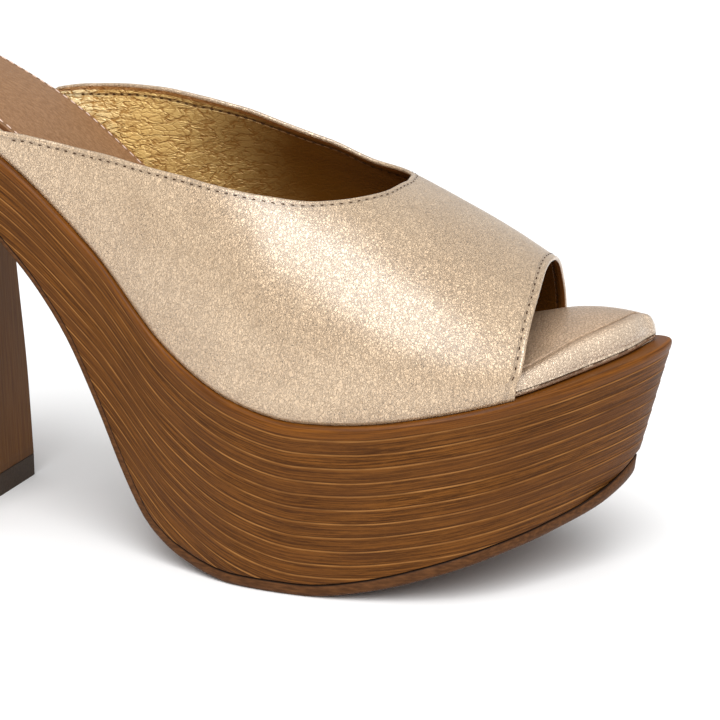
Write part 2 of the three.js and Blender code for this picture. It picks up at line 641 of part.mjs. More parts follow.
const sandal = new THREE.Group();
sandal.add(
  piece('platform', makePlatform(), 0x6b4226, 0.5, 0),
  piece('outsole', makeOutsole(), 0x5c3a22, 0.65, 0),
  piece('heel_block', makeHeelBlock(), 0x5e4630, 0.55, 0),
  piece('heel_top_lift', makeTopLift(), 0x3f2d20, 0.7, 0),
  piece('insole', makeInsole(), 0xcfae92, 0.4, 0.5),
  piece('sock', makeSock(), 0x9a7558, 0.7, 0),
  piece('upper', makeUpper(), 0xdcc0a0, 0.35, 0.6),
);

// The origin lies under the middle of the whole shoe, on the floor
const extent = new THREE.Box3().setFromObject(sandal);
const middle = extent.getCenter(new THREE.Vector3());
sandal.position.set(-middle.x, -middle.y, 0);

export default sandal;
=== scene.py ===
"""The looks of a platform mule for the right foot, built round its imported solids.

Shapes are worked out in the shoe's own frame: millimetres, x from the heel back to the toe tip, y from
the outer side (negative) to the inner side, z up from the floor. place() carries them into the frame of
the solids.
"""

import bmesh
import bpy
import numpy as np
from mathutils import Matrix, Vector


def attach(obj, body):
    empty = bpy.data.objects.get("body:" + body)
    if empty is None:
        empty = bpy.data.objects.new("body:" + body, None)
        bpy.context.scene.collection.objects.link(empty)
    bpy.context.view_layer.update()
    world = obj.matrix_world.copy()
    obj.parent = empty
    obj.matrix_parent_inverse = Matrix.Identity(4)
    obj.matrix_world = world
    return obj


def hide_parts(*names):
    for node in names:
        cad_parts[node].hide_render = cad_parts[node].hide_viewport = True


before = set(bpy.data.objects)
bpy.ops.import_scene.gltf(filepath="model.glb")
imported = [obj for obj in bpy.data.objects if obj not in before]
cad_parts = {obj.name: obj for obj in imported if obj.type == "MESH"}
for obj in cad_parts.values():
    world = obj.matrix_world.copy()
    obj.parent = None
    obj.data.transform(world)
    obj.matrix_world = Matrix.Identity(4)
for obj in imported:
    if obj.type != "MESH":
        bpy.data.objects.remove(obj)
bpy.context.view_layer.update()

# The shoe's middle, which stands over the frame's origin
MIDDLE_X = 114.00999676
MIDDLE_Y = -0.29684826

# Sizes of the last, the platform and the heel
LENGTH = 228.2
BALL_WIDTH = 85
HEEL_HEIGHT = 124.3
PLATFORM_HEIGHT = 42.7
TOE_RISE = 14
TOE_SPRING = 25
SEAT_DEPTH = 13
SIDE_RAKE = 0.045
TOE_RAKE = 0.27
RAKE_START = 0.8
LAYER = 3.4
LAYER_NOTCH = 0.13
LAYER_GROOVE = 0.4
RIM_HEIGHT = 3.2
RIM_ROUND = 1.6
OUTSOLE = 3.3
OUTSOLE_INSET = 0.15
OUTSOLE_ROUND = 1.2
STEEPEST = 2.2
HEEL_LENGTH = 45.2
HEEL_BACK_DRAW = 3.4
HEEL_BREAST_FLARE = 2.6
HEEL_OUTER_FLARE = 1.6
HEEL_INNER_FLARE = 5
HEEL_INSET = 0.7
HEEL_CORNER = 1.6
TOP_LIFT = 6

# Sizes of the insole, the sock and the upper
INSOLE = 5
TOE_EDGE = 3.6
INSOLE_ROLL = 2.4
HEEL_ROLL_SHARE = 0.35
TOE_FROM = 0.55
TOE_TO = 0.75
INSOLE_CROWN = 2.2
TOE_CROWN = 8.8
CROWN_LEAN = 6
HEEL_BULGE = (2, 1)
ARCH_RISE = 3.5
ARCH_FROM = 0.24
ARCH_PEAK = 0.46
ARCH_TO = 0.68
TOE_BULGE = (2, 1.5)
CROWN_FADE = 27
TOE_FADE = 28
TOE_MARGIN = 3.6
MARGIN_FROM = 0.87
MARGIN_TO = 0.96
MARGIN_END = 22
MARGIN_FADE = 16
SPINE_FROM = 0.11
SPINE_TO = 0.86
SOCK = 0.9
SOCK_INSET = 1.1
SOCK_LENGTH = 152
UPPER_WALL = 1.8
UPPER_EDGE = 1.1
EDGE_TAPER = 9
UPPER_INSET = 0.5
UPPER_WRAP = 4
UPPER_TUCK = 0.8
INSTEP = 49.7
CREST = 3
GAP = 0.3
SLOPED_GAP = 0.45
INSOLE_INSET = UPPER_INSET + UPPER_WALL + GAP

# Half widths of the platform top as shares of the ball width: at, near, far
OUTLINE_ROWS = [
    (0, 0, 0), (0.02, 0.178, 0.18), (0.06, 0.282, 0.284), (0.12, 0.33, 0.326), (0.2, 0.323, 0.31),
    (0.3, 0.307, 0.274), (0.4, 0.318, 0.269), (0.5, 0.404, 0.329), (0.58, 0.48, 0.4),
    (0.66, 0.505, 0.468), (0.73, 0.494, 0.497), (0.8, 0.455, 0.484), (0.86, 0.386, 0.437),
    (0.91, 0.285, 0.372), (0.95, 0.174, 0.308), (0.98, 0.059, 0.234), (1, -0.124, 0.124),
]

# Platform top: at, drop from heel to platform height, rise towards the toe
TOP_ROWS = [
    (0, 1, 0), (0.1, 0.928, 0), (0.2, 0.83, 0), (0.3, 0.684, 0), (0.4, 0.436, 0), (0.5, 0.162, 0),
    (0.6, 0.028, 0), (0.66, 0, 0), (0.72, 0, 0.03), (0.8, 0, 0.225), (0.9, 0, 0.565), (1, 0, 1),
]

# Underside: at, seat height, toe spring, outsole thickness
UNDER_ROWS = [
    (0, 1, 0, 0.5), (0.1, 0.952, 0, 0.5), (0.18, 0.886, 0, 0.5), (0.24, 0.8, 0, 0.5),
    (0.296, 0.69, 0, 0.5), (0.34, 0.581, 0, 0.52), (0.372, 0.476, 0, 0.56), (0.405, 0.329, 0, 0.64),
    (0.432, 0.2025, 0, 0.74), (0.461, 0.101, 0, 0.86), (0.49, 0.05, 0, 0.95), (0.523, 0.02, 0, 1),
    (0.554, 0.0054, 0, 1), (0.58, 0, 0, 1), (0.655, 0, 0, 1), (0.69, 0, 0.027, 1), (0.72, 0, 0.077, 1),
    (0.75, 0, 0.14, 1), (0.8, 0, 0.275, 1), (0.85, 0, 0.417, 1), (0.9, 0, 0.555, 1), (0.94, 0, 0.715, 1),
    (0.96, 0, 0.85, 1), (0.975, 0, 1, 1),
]

# Sections of the last: at, crest height, power across, power upright
LAST_ROWS = [
    (0.2, 0.66, 2.6, 2.6), (0.35, 0.84, 2.6, 2.6), (0.44, 1.08, 2.6, 2.6), (0.52, 1.23, 2.55, 2.55),
    (0.6, 1.22, 2.5, 2.5), (0.66, 1.13, 2.5, 2.4), (0.72, 1, 2.4, 2.3), (0.77, 0.865, 2.25, 2),
    (0.83, 0.68, 2.1, 1.65), (0.865, 0.557, 2, 1.5), (0.885, 0.485, 2, 1.45), (0.91, 0.4, 2, 1.45),
]

# Lines of the vamp from its peep to its topline: turn, peep, reach, top
OUTER_LINES = [
    (0, 0.875, 0.285, 0), (5, 0.8765, 0.308, 2.6), (10, 0.8775, 0.337, 7.8), (15, 0.878, 0.3703, 14.2),
    (20, 0.8785, 0.405, 20.1), (30, 0.8785, 0.478, 33.4), (40, 0.8785, 0.548, 42.5),
    (50, 0.8785, 0.611, 49.2), (60, 0.878, 0.655, 56.7), (70, 0.8765, 0.687, 65.2),
    (80, 0.8745, 0.709, 76.5), (90, 0.873, 0.7156, 90),
]
INNER_LINES = [
    (0, 0.86, 0.262, 0), (5, 0.8605, 0.286, 5.2), (10, 0.861, 0.313, 12.1), (20, 0.862, 0.371, 28.8),
    (30, 0.863, 0.43, 41.3), (35, 0.8635, 0.465, 48.6), (40, 0.864, 0.5, 53.7), (50, 0.866, 0.568, 59.6),
    (60, 0.868, 0.629, 61.6), (70, 0.87, 0.674, 66.6), (80, 0.872, 0.705, 77), (90, 0.873, 0.7156, 90),
]
OUTER_FOOT = (0.8725, 0.254)
INNER_FOOT = (0.858, 0.23)

# Heel sections: share down, back draw, breast flare, side flare
HEEL_ROWS = [
    (0, 0.1, 0, 0), (0.2, 0.6, 0.2, 0.15), (0.45, 1, 0.45, 0.48), (0.7, 0.9, 0.72, 0.85), (1, 0.5, 1, 1),
]


# Curves and heights of the shoe

def curve(rows, column, warp=lambda at: at):
    """Cubic through a table's column: weighted mean slopes at the rows, level where the table is level."""
    table = np.array(rows, float)
    xs = warp(table[:, 0])
    ys = table[:, column]
    slopes = np.diff(ys) / np.diff(xs)
    before = np.concatenate([slopes[:1], slopes])
    after = np.concatenate([slopes, slopes[-1:]])
    left = np.diff(xs, prepend=xs[0] - (xs[1] - xs[0]))
    right = np.diff(xs, append=xs[-1] + (xs[-1] - xs[-2]))
    mean = (before * right + after * left) / (left + right)
    steepest = 3 * np.minimum(np.abs(before), np.abs(after))
    tangents = np.clip(mean, -steepest, steepest)

    def value(at):
        x = np.clip(warp(at), xs[0], xs[-1])
        i = np.clip(np.searchsorted(xs, x) - 1, 0, len(xs) - 2)
        width = xs[i + 1] - xs[i]
        t = (x - xs[i]) / width
        level = ys[i] * (1 + 2 * t) * (1 - t) ** 2 + ys[i + 1] * t * t * (3 - 2 * t)
        return level + width * (tangents[i] * t * (1 - t) ** 2 - tangents[i + 1] * t * t * (1 - t))

    return value


def round_ends(at):
    """Share of the length as an angle, so that both ends of the outline come out round."""
    return np.arccos(1 - 2 * np.clip(at, 0, 1))


def smooth(t):
    """0 to 1 with level ends: t squared times (3 - 2t)."""
    held = np.clip(t, 0, 1)
    return held * held * (3 - 2 * held)


near_share = curve(OUTLINE_ROWS, 1, round_ends)
far_share = curve(OUTLINE_ROWS, 2, round_ends)
drop_share = curve(TOP_ROWS, 1)
rise_share = curve(TOP_ROWS, 2)
seat_share = curve(UNDER_ROWS, 1)
spring_share = curve(UNDER_ROWS, 2)
sole_share = curve(UNDER_ROWS, 3)
crest_share = curve(LAST_ROWS, 1)
across_power = curve(LAST_ROWS, 2)
upright_power = curve(LAST_ROWS, 3)
heel_draw = curve(HEEL_ROWS, 1)
heel_breast = curve(HEEL_ROWS, 2)
heel_flare = curve(HEEL_ROWS, 3)


def near_width(x):
    """Half width of the platform top on the outer side."""
    return BALL_WIDTH * near_share(x / LENGTH)


def far_width(x):
    """Half width of the platform top on the inner side."""
    return BALL_WIDTH * far_share(x / LENGTH)


def top_height(x):
    """Platform top: its height, plus the drop from the heel, plus the rise to the toe."""
    at = x / LENGTH
    return PLATFORM_HEIGHT + (HEEL_HEIGHT - PLATFORM_HEIGHT) * drop_share(at) + TOE_RISE * rise_share(at)


def under_height(x):
    """Underside of the outsole: the seat's height along the shank, the spring along the toe."""
    at = x / LENGTH
    return (HEEL_HEIGHT - SEAT_DEPTH) * seat_share(at) + TOE_SPRING * spring_share(at)


def joint_height(x):
    """Joint of platform and outsole: the underside plus the outsole's thickness, taller on a slope."""
    slope = (under_height(x + 1) - under_height(x - 1)) / 2
    return under_height(x) + OUTSOLE * sole_share(x / LENGTH) * np.minimum(np.hypot(1, slope), STEEPEST)


def rake_at(x):
    """Lean of the wall per millimetre down, growing from the sides to the toe."""
    return SIDE_RAKE + (TOE_RAKE - SIDE_RAKE) * smooth((x / LENGTH - RAKE_START) / (1 - RAKE_START))


def outline(stations):
    """Plan points round the platform top, outer side first, and directions square to their neighbours."""
    x = LENGTH * (1 - np.cos(np.pi * np.arange(stations + 1) / stations)) / 2
    near = np.stack([x, -near_width(x)], -1)
    far = np.stack([x, far_width(x)], -1)[1:-1][::-1]
    points = np.concatenate([near, far])
    along = np.roll(points, -1, 0) - np.roll(points, 1, 0)
    along /= np.linalg.norm(along, axis=1)[:, None]
    return points, np.stack([along[:, 1], -along[:, 0]], -1)


def inside(places, inset, depth=0.0):
    """Plan points moved inwards by an inset plus the wall's lean times the depth under the top."""
    points, outward = places
    return points - outward * (rake_at(points[:, 0]) * depth + inset)[:, None]


def last_point(x, turn, inset):
    """Section of the last: a power of the cosine across and of the sine upright, from foot to crest."""
    at = x / LENGTH
    angle = np.radians(turn)
    foot = top_height(x) + SLOPED_GAP + UPPER_WRAP
    crest = top_height(x) + INSTEP * crest_share(at) - inset
    across = np.abs(np.cos(angle)) ** (2 / across_power(at))
    upright = np.maximum(np.sin(angle), 0) ** (2 / upright_power(at))
    outer = turn < 90
    edge = np.where(outer, -near_width(x), far_width(x))
    side = edge - np.where(outer, -1, 1) * (UPPER_INSET + inset)
    return np.stack([x, CREST + (side - CREST) * across, foot + (crest - foot) * upright], -1)


def unit(vectors):
    """Vectors divided by their lengths."""
    return vectors / np.maximum(np.linalg.norm(vectors, axis=-1, keepdims=True), 1e-9)


def place(points):
    """Millimetres in the shoe's frame to metres in the frame of the solids."""
    return (np.asarray(points, float).reshape(-1, 3) - (MIDDLE_X, MIDDLE_Y, 0)) / 1000


class Skin:
    """Grids of points gathered into one welded mesh, with a map in millimetres and finish numbers."""

    def __init__(self):
        self.points = []
        self.faces = []
        self.maps = []
        self.kinds = []
        self.edges = []
        self.count = 0

    def grid(self, points, across=None, down=None, around=False, kind=0, edge=None):
        """Quads over rows and columns of points; around joins the last column to the first."""
        rows, columns = points.shape[:2]
        wide = columns if around else columns - 1
        r, c = np.meshgrid(np.arange(rows - 1), np.arange(wide), indexing="ij")
        corners = [(r, c), (r, c + 1), (r + 1, c + 1), (r + 1, c)]
        index = np.stack([a * columns + b % columns for a, b in corners], -1).reshape(-1, 4)
        u = np.zeros((rows, wide + 1)) if across is None else np.broadcast_to(across, (rows, wide + 1))
        v = np.zeros((rows, wide + 1)) if down is None else np.broadcast_to(down, (rows, wide + 1))
        self.points.append(points.reshape(-1, 3))
        self.faces.append(index + self.count)
        maps = np.stack([np.stack([u[a, b], v[a, b]], -1) for a, b in corners], -2)
        self.maps.append(maps.reshape(-1, 4, 2))
        self.kinds.append(np.broadcast_to(kind, (rows - 1, wide)).reshape(-1))
        self.edges.append(np.broadcast_to(0.0 if edge is None else edge, (rows, columns)).ravel())
        self.count += rows * columns

    def build(self, name, paints, slot, *nodes):
        """Writes the mesh, welds equal points, turns the faces outwards and rides it on the body."""
        mesh = bpy.data.meshes.new(name)
        points = place(np.concatenate(self.points))
        faces = np.concatenate(self.faces)
        mesh.from_pydata(points.tolist(), [], faces.tolist())
        layer = mesh.uv_layers.new(name="plan")
        layer.data.foreach_set("uv", (np.concatenate(self.maps) / 1000).astype(np.float32).ravel())
        mesh.polygons.foreach_set("material_index", np.concatenate(self.kinds).astype(np.int32))
        mesh.polygons.foreach_set("use_smooth", np.ones(len(faces), bool))
        edge = mesh.attributes.new("edge", "FLOAT", "POINT")
        edge.data.foreach_set("value", np.concatenate(self.edges).astype(np.float32))
        for paint in paints:
            mesh.materials.append(paint)
        work = bmesh.new()
        work.from_mesh(mesh)
        bmesh.ops.remove_doubles(work, verts=work.verts, dist=2e-6)
        bmesh.ops.dissolve_degenerate(work, edges=work.edges, dist=1e-6)
        bmesh.ops.recalc_face_normals(work, faces=work.faces)
        work.to_mesh(mesh)
        work.free()
        piece = bpy.data.objects.new(name, mesh)
        bpy.context.scene.collection.objects.link(piece)
        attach(piece, "root")
        if nodes:
            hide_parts(*nodes)


def lengths(points):
    """Running length along a row of points, from 0."""
    steps = np.linalg.norm(np.diff(points, axis=0), axis=1)
    return np.concatenate([[0], np.cumsum(steps)])


def ring_lengths(points):
    """Running length round a closed row of points, with the whole length as the last value."""
    return lengths(np.concatenate([points, points[:1]]))


def ladder(skin, ring, stations):
    """Closes a ring over the outline with strips from its outer to its inner side."""
    near = ring[: stations + 1]
    far = np.concatenate([ring[:1], ring[stations:][::-1]])
    skin.grid(np.stack([near, far]))


# Shader maths

class Value:
    """A number socket: each operator adds the Math node that works it out."""

    def __init__(self, paint, socket):
        self.paint = paint
        self.socket = socket

    def math(self, operation, *values):
        """One Math node on this value and others."""
        return self.paint.add("Math", {"operation": operation}, dict(enumerate((self, *values))))

    def __add__(self, other):
        return self.math("ADD", other)

    __radd__ = __add__

    def __sub__(self, other):
        return self.math("SUBTRACT", other)

    def __rsub__(self, other):
        return (self * -1) + other

    def __mul__(self, other):
        return self.math("MULTIPLY", other)

    __rmul__ = __mul__

    def __truediv__(self, other):
        return self.math("DIVIDE", other)

    def whole(self):
        return self.math("FLOOR")

    def part(self):
        return self.math("FRACT")

    def size(self):
        return self.math("ABSOLUTE")

    def least(self, other):
        return self.math("MINIMUM", other)

    def step(self, low, high):
        """0 below low, 1 above high, smooth between."""
        return self.paint.add("MapRange", {"interpolation_type": "SMOOTHSTEP"},
                              {"Value": self, "From Min": low, "From Max": high})

    def band(self, low, high, soft):
        """1 between low and high, fading over soft on either side."""
        return self.step(low - soft, low) * (1 - self.step(high, high + soft))


class Paint:
    """One material: a shader and the nodes that feed it."""

    def __init__(self, name, **shader):
        self.material = bpy.data.materials.new(name)
        self.material.use_nodes = True
        self.tree = self.material.node_tree
        self.tree.nodes.clear()
        output = self.tree.nodes.new("ShaderNodeOutputMaterial")
        self.shader = self.tree.nodes.new("ShaderNodeBsdfPrincipled")
        self.tree.links.new(self.shader.outputs[0], output.inputs[0])
        self.feed(**shader)

    def feed(self, **values):
        """Sets or links sockets of the shader, named with _ for a space."""
        for key, value in values.items():
            self.join(self.shader.inputs[key.replace("_", " ")], value)

    def join(self, socket, value):
        if isinstance(value, Value):
            self.tree.links.new(value.socket, socket)
        elif hasattr(socket.default_value, "__len__") and len(value) < len(socket.default_value):
            socket.default_value = (*value, 1)
        else:
            socket.default_value = value

    def add(self, kind, settings=None, sockets=None, output=0):
        """A node of a kind: its settings first, then values or links of its sockets; gives one output."""
        node = self.tree.nodes.new("ShaderNode" + kind)
        for key, value in (settings or {}).items():
            setattr(node, key, value)
        for key, value in (sockets or {}).items():
            self.join(node.inputs[key], value)
        return Value(self, node.outputs[output])

    def here(self, scale=(1, 1, 1)):
        """Object coordinates in millimetres, stretched by scale."""
        at = self.add("TexCoord", output=3)
        return self.add("Mapping", {}, {"Vector": at, "Scale": tuple(1000 * s for s in scale)})

    def axis(self, vector, number):
        """One number of a vector, from metres to millimetres."""
        return self.add("SeparateXYZ", {}, {0: vector}, output=number) * 1000

    def plan(self):
        """The piece's own map in millimetres, as two numbers."""
        at = self.add("UVMap", {"uv_map": "plan"})
        return self.axis(at, 0), self.axis(at, 1)

    def forward(self):
        """Place along the shoe in millimetres, from the frame's origin towards the toe."""
        return self.axis(self.add("TexCoord", output=3), 0)

    def point(self, x, y=0, z=0):
        """A vector of three numbers."""
        return self.add("CombineXYZ", {}, {0: x, 1: y, 2: z})

    def edge(self):
        """Distance from the piece's own edge in millimetres."""
        return self.add("Attribute", {"attribute_name": "edge"}, output=2)

    def noise(self, at, scale=1, detail=2, roughness=0.5, distortion=0):
        return self.add("TexNoise", {}, {"Vector": at, "Scale": scale, "Detail": detail,
                                         "Roughness": roughness, "Distortion": distortion})

    def cells(self, at, scale=1, feature="DISTANCE_TO_EDGE"):
        return self.add("TexVoronoi", {"feature": feature}, {"Vector": at, "Scale": scale})

    def shifted(self, at, scale, amount):
        """Coordinates pushed about by a colour noise of the given scale, by an amount in millimetres."""
        drift = self.add("TexNoise", {}, {"Vector": at, "Scale": scale, "Detail": 1}, output=1)
        pushed = self.add("VectorMath", {"operation": "SCALE"}, {0: drift, 3: amount})
        return self.add("VectorMath", {"operation": "ADD"}, {0: at, 1: pushed})

    def net(self, at, scale, wide):
        """A net of lines: 0 on the borders of the cells, 1 from a given way inside them."""
        return self.cells(at, scale).step(0, wide)

    def coats(self, colour, *layers):
        """Coats laid over a colour one after the other, each given as its share and its own colour."""
        for share, coat in layers:
            colour = self.add("Mix", {"data_type": "RGBA"}, {0: share, 6: colour, 7: coat}, output=2)
        return colour

    def finish(self, height, colour, **shader):
        """Feeds the shader, adds bumps from a height in millimetres and gives the material."""
        bumps = self.add("Bump", {}, {"Distance": 0.001, "Height": height})
        self.feed(Base_Color=colour, Normal=bumps, **shader)
        return self.material


def dimmed(colour, share):
    """A colour at a share of its brightness."""
    return tuple(c * share for c in colour)


def foil_leather():
    """The vamp's metallic leather: a net of wrinkles, pores in patches, clouds and a stitch groove darkened
    as painted shade.
    """
    paint = Paint("vamp_leather", Metallic=0.5, IOR=1.5, Coat_Roughness=0.3, Coat_IOR=1.85)
    base = (0.72, 0.525, 0.335)
    dark = (0.55, 0.375, 0.22)
    at = paint.here((1.1, 0.95, 0.85))
    net = paint.net(paint.shifted(at, 0.8, 1.2), 1.4, 0.14)
    fine = paint.net(paint.shifted(at, 2.6, 0.5), 2.5, 0.26)
    folds = (paint.noise(at, 1, 2, 0.5, 1) - 0.5).size().step(0, 0.06)
    clouds = paint.noise(paint.here(), 0.05, 3, 0.62)
    swell = paint.noise(paint.here((1, 1, 0.6)), 0.14, 2)
    patches = paint.noise(paint.here(), 0.07, 2).step(0.42, 0.6)
    pores = (1 - paint.cells(paint.here(), 1, "F1").step(0.1, 0.24)) * patches
    worn = net * 0.35 + fine * 0.25 + folds * 0.4
    # Band along the stitch row: a groove in the bumps, its colour darkened as painted shade in the groove.
    row = paint.edge().band(1.35, 1.85, 0.2)
    colour = paint.coats(
        dark,
        (worn.step(0, 0.9), base),
        (clouds.step(0.42, 0.75) * 0.22, dimmed(base, 0.78)),
        (patches * 0.32, dark),
        ((2 - net - folds).least(1) * 0.25, dimmed(dark, 0.45)),
        (pores * 0.7, dimmed(dark, 0.25)),
        # Painted shade in the stitch groove.
        (row * 0.35, dimmed(dark, 0.5)),
    )
    height = net * 0.09 + fine * 0.03 + folds * 0.13 + swell * 0.6 - pores * 0.1 - row * 0.2
    return paint.finish(height, colour, Roughness=0.42 - worn * 0.12 + clouds * 0.08,
                        Coat_Weight=worn * 0.4 + 0.55)


def gold_lining():
    """Crackled gold lining: wrinkles at the open back, smooth towards the throat; paler gold at the open back
    as painted light, dark brown towards the throat as painted shade.
    """
    paint = Paint("gold_lining", IOR=1.5, Coat_Roughness=0.25)
    at = paint.here((0.5, 0.9, 1))
    drift = paint.shifted(at, 0.45, 2)
    net = paint.net(drift, 0.62, 0.14)
    fine = paint.net(paint.shifted(at, 1.6, 0.7), 1.7, 0.26)
    folds = (paint.noise(drift, 0.3, 3, 0.62) - 0.5).size().step(0, 0.09)
    worn = net * 0.4 + fine * 0.2 + folds * 0.4
    forward = paint.forward() + (paint.noise(paint.here(), 0.07, 2) - 0.5) * 22
    # Share towards the throat: the colour is painted dark brown there as painted shade, and the leather turns
    # smoother and duller.
    throat_shade_and_smoothing = forward.step(-46, 20)
    edge = paint.edge()
    row = edge.band(1.9, 2.3, 0.25)
    colour = paint.coats(
        (0.5, 0.27, 0.07),
        # The paler gold at the open back, where the lining gets the most light, is painted light.
        (worn.step(0.1, 0.9), paint.coats((1, 0.83, 0.48), (forward.step(-52, -30), (0.95, 0.66, 0.24)))),
        # Painted shade: dark brown towards the throat.
        (throat_shade_and_smoothing, (0.145, 0.054, 0.0025)),
        (edge.band(0, 0.8, 0.25) * 0.85, (0.3, 0.115, 0.025)),
        # Painted shade in the stitch groove.
        (row * 0.5, (0.08, 0.03, 0.01)),
    )
    height = (net * 0.11 + fine * 0.04 + folds * 0.24) * (1 - throat_shade_and_smoothing * 0.85) - row * 0.2
    return paint.finish(height, colour, Roughness=0.4 - worn * 0.12 + throat_shade_and_smoothing * 0.12,
                        Metallic=throat_shade_and_smoothing * 0.3 + 0.12, Coat_Weight=0.5 - throat_shade_and_smoothing * 0.4)


def wrapped_leather():
    """The insole's leather: finer net, gathers across its rolled edge with a painted highlight on it, and an
    impressed line inside it with painted shade in it.
    """
    paint = Paint("wrapped_leather", Metallic=0.5, IOR=1.5, Coat_Roughness=0.22, Coat_IOR=1.7)
    base = (0.66, 0.46, 0.3)
    dark = (0.5, 0.33, 0.2)
    at = paint.here((1.1, 0.9, 1))
    net = paint.net(paint.shifted(at, 0.8, 1.2), 1.1, 0.2)
    fine = paint.net(paint.shifted(at, 2.4, 0.5), 2.6, 0.3)
    round_way, inwards = paint.plan()
    gathers = paint.noise(paint.point(round_way, inwards * 0.32), 1, 2, 0.55)
    rolled = 1 - inwards.step(1.5, 2.9)
    line = inwards.band(3.55, 3.75, 0.3)
    clouds = paint.noise(paint.here(), 0.09, 3, 0.6)
    worn = net * 0.5 + fine * 0.5
    colour = paint.coats(
        dark,
        (worn.step(0, 0.8), base),
        (clouds.step(0.45, 0.7) * 0.35, dimmed(base, 0.75)),
        # Painted highlight: the rolled edge is painted paler, as where it catches the light.
        (rolled * 0.45, (0.95, 0.8, 0.62)),
        (gathers.step(0.55, 0.75) * rolled * 0.25, dark),
        ((1 - net) * 0.3, dimmed(dark, 0.45)),
        # Painted shade in the impressed line.
        (line * 0.5, dimmed(dark, 0.5)),
    )
    height = net * 0.08 + fine * 0.03 + gathers * rolled * 0.2 - line * 0.25 + clouds * 0.4
    return paint.finish(height, colour, Roughness=0.38 - worn * 0.1 - rolled * 0.06,
                        Coat_Weight=rolled * 0.5 + 0.4)


def sock_leather():
    """Matte brown leather with a fine grain, faint strokes along the foot, a darker raw edge and painted
    shade in the stitch groove.
    """
    paint = Paint("sock_leather", IOR=1.45, Specular_IOR_Level=0.12)
    at = paint.here()
    grain = paint.net(paint.shifted(at, 1.5, 0.5), 1.9, 0.3)
    strokes = paint.noise(paint.here((0.12, 1.3, 1.3)), 1, 3, 0.6)
    clouds = paint.noise(at, 0.06, 3)
    edge = paint.edge()
    row = edge.band(1.5, 1.9, 0.25)
    colour = paint.coats(
        (0.25, 0.132, 0.064),
        (strokes.step(0.3, 0.75), (0.37, 0.208, 0.108)),
        (clouds.step(0.4, 0.75) * 0.3, (0.27, 0.145, 0.075)),
        ((1 - grain) * 0.22, (0.13, 0.06, 0.025)),
        (1 - edge.step(0.35, 0.7), (0.12, 0.045, 0.013)),
        # Painted shade in the stitch groove.
        (row * 0.35, (0.12, 0.055, 0.025)),
    )
    height = grain * 0.04 + strokes * 0.06 - row * 0.2
    return paint.finish(height, colour, Roughness=0.56 - strokes * 0.08)


def stacked_wood():
    """Layers parallel to the top: a fine dark seam in each groove, darkened further as painted shade, a thin
    pale line under it, brightened as a painted highlight on each layer's head, and streaked brown below.
    """
    paint = Paint("stacked_wood", IOR=1.5, Specular_IOR_Level=0.06, Coat_Roughness=0.3)
    round_way, depth = paint.plan()
    sway = paint.noise(paint.point(round_way * 0.018, depth * 0.2), 1, 3) - 0.5
    layers = (depth - RIM_HEIGHT + sway * 0.9) / LAYER
    share = layers.part()
    number = layers.whole()
    tint = paint.add("TexWhiteNoise", {"noise_dimensions": "1D"}, {"W": number})
    streaks = paint.noise(paint.point(round_way * 0.05, depth * 2.2, number), 1, 4, 0.68)
    fibres = paint.noise(paint.point(round_way * 0.3, depth * 5.5, number), 1, 3, 0.7)
    gaps = 1 - fibres.step(0.28, 0.46)
    clouds = paint.noise(paint.point(round_way * 0.035, depth * 0.14), 1, 3)
    thread = paint.noise(paint.point(round_way * 0.06, number, 3), 1, 3).step(0.32, 0.66)
    below = depth.step(RIM_HEIGHT - 0.3, RIM_HEIGHT + 0.1)
    # Thin pale line on each layer's head, partly the layer's own tone and partly a painted highlight where
    # the head catches the light.
    light = share.band(0.06, 0.11, 0.05) * below * (thread * 0.85 + 0.15)
    # Dark seam in the groove between layers, partly a dark joint and partly painted shade.
    seam = (share.step(0.94, 0.99) + 1 - share.step(0.01, 0.06)) * below
    rim = paint.coats(
        (0.075, 0.022, 0.0018),
        (streaks.step(0.32, 0.72), (0.215, 0.071, 0.0068)),
        (gaps * 0.5, (0.05, 0.017, 0.004)),
    )
    colour = paint.coats(
        (0.044, 0.0145, 0.003),
        (streaks.step(0.34, 0.68), (0.185, 0.066, 0.0115)),
        (fibres.step(0.5, 0.8) * 0.55, (0.28, 0.112, 0.022)),
        (gaps * 0.75, (0.026, 0.009, 0.0025)),
        (tint * 0.35, (0.1, 0.037, 0.0105)),
        # Painted highlight on the layers' heads.
        (light, (0.3, 0.132, 0.035)),
        # Painted shade in the grooves between layers.
        (seam.least(1) * (thread * 0.35 + 0.3), (0.035, 0.012, 0.004)),
        (1 - below, rim),
        (clouds.step(0.42, 0.75) * 0.4, (0.085, 0.03, 0.009)),
    )
    height = fibres * 0.05 + streaks * 0.09 - seam * 0.05 + light * 0.04
    return paint.finish(height, colour, Roughness=0.4 + fibres * 0.14, Coat_Weight=(1 - below) * 0.14 + 0.02)


def heel_wood():
    """Plain dark veneer with faint upright grain."""
    paint = Paint("heel_wood", IOR=1.5, Specular_IOR_Level=0.06, Coat_Roughness=0.3, Coat_Weight=0.02)
    grain = paint.noise(paint.here((1.4, 1.4, 0.03)), 1, 4, 0.65)
    pores = paint.noise(paint.here((3.2, 3.2, 0.16)), 1, 2, 0.6)
    clouds = paint.noise(paint.here((1, 1, 0.4)), 0.035, 2)
    colour = paint.coats(
        (0.112, 0.041, 0.0075),
        (grain.step(0.3, 0.7), (0.18, 0.072, 0.0155)),
        (pores.step(0.55, 0.75) * 0.35, (0.045, 0.02, 0.009)),
        (clouds.step(0.4, 0.7) * 0.3, (0.095, 0.046, 0.022)),
    )
    return paint.finish(pores * 0.05 + grain * 0.04, colour, Roughness=0.48 + pores * 0.1)


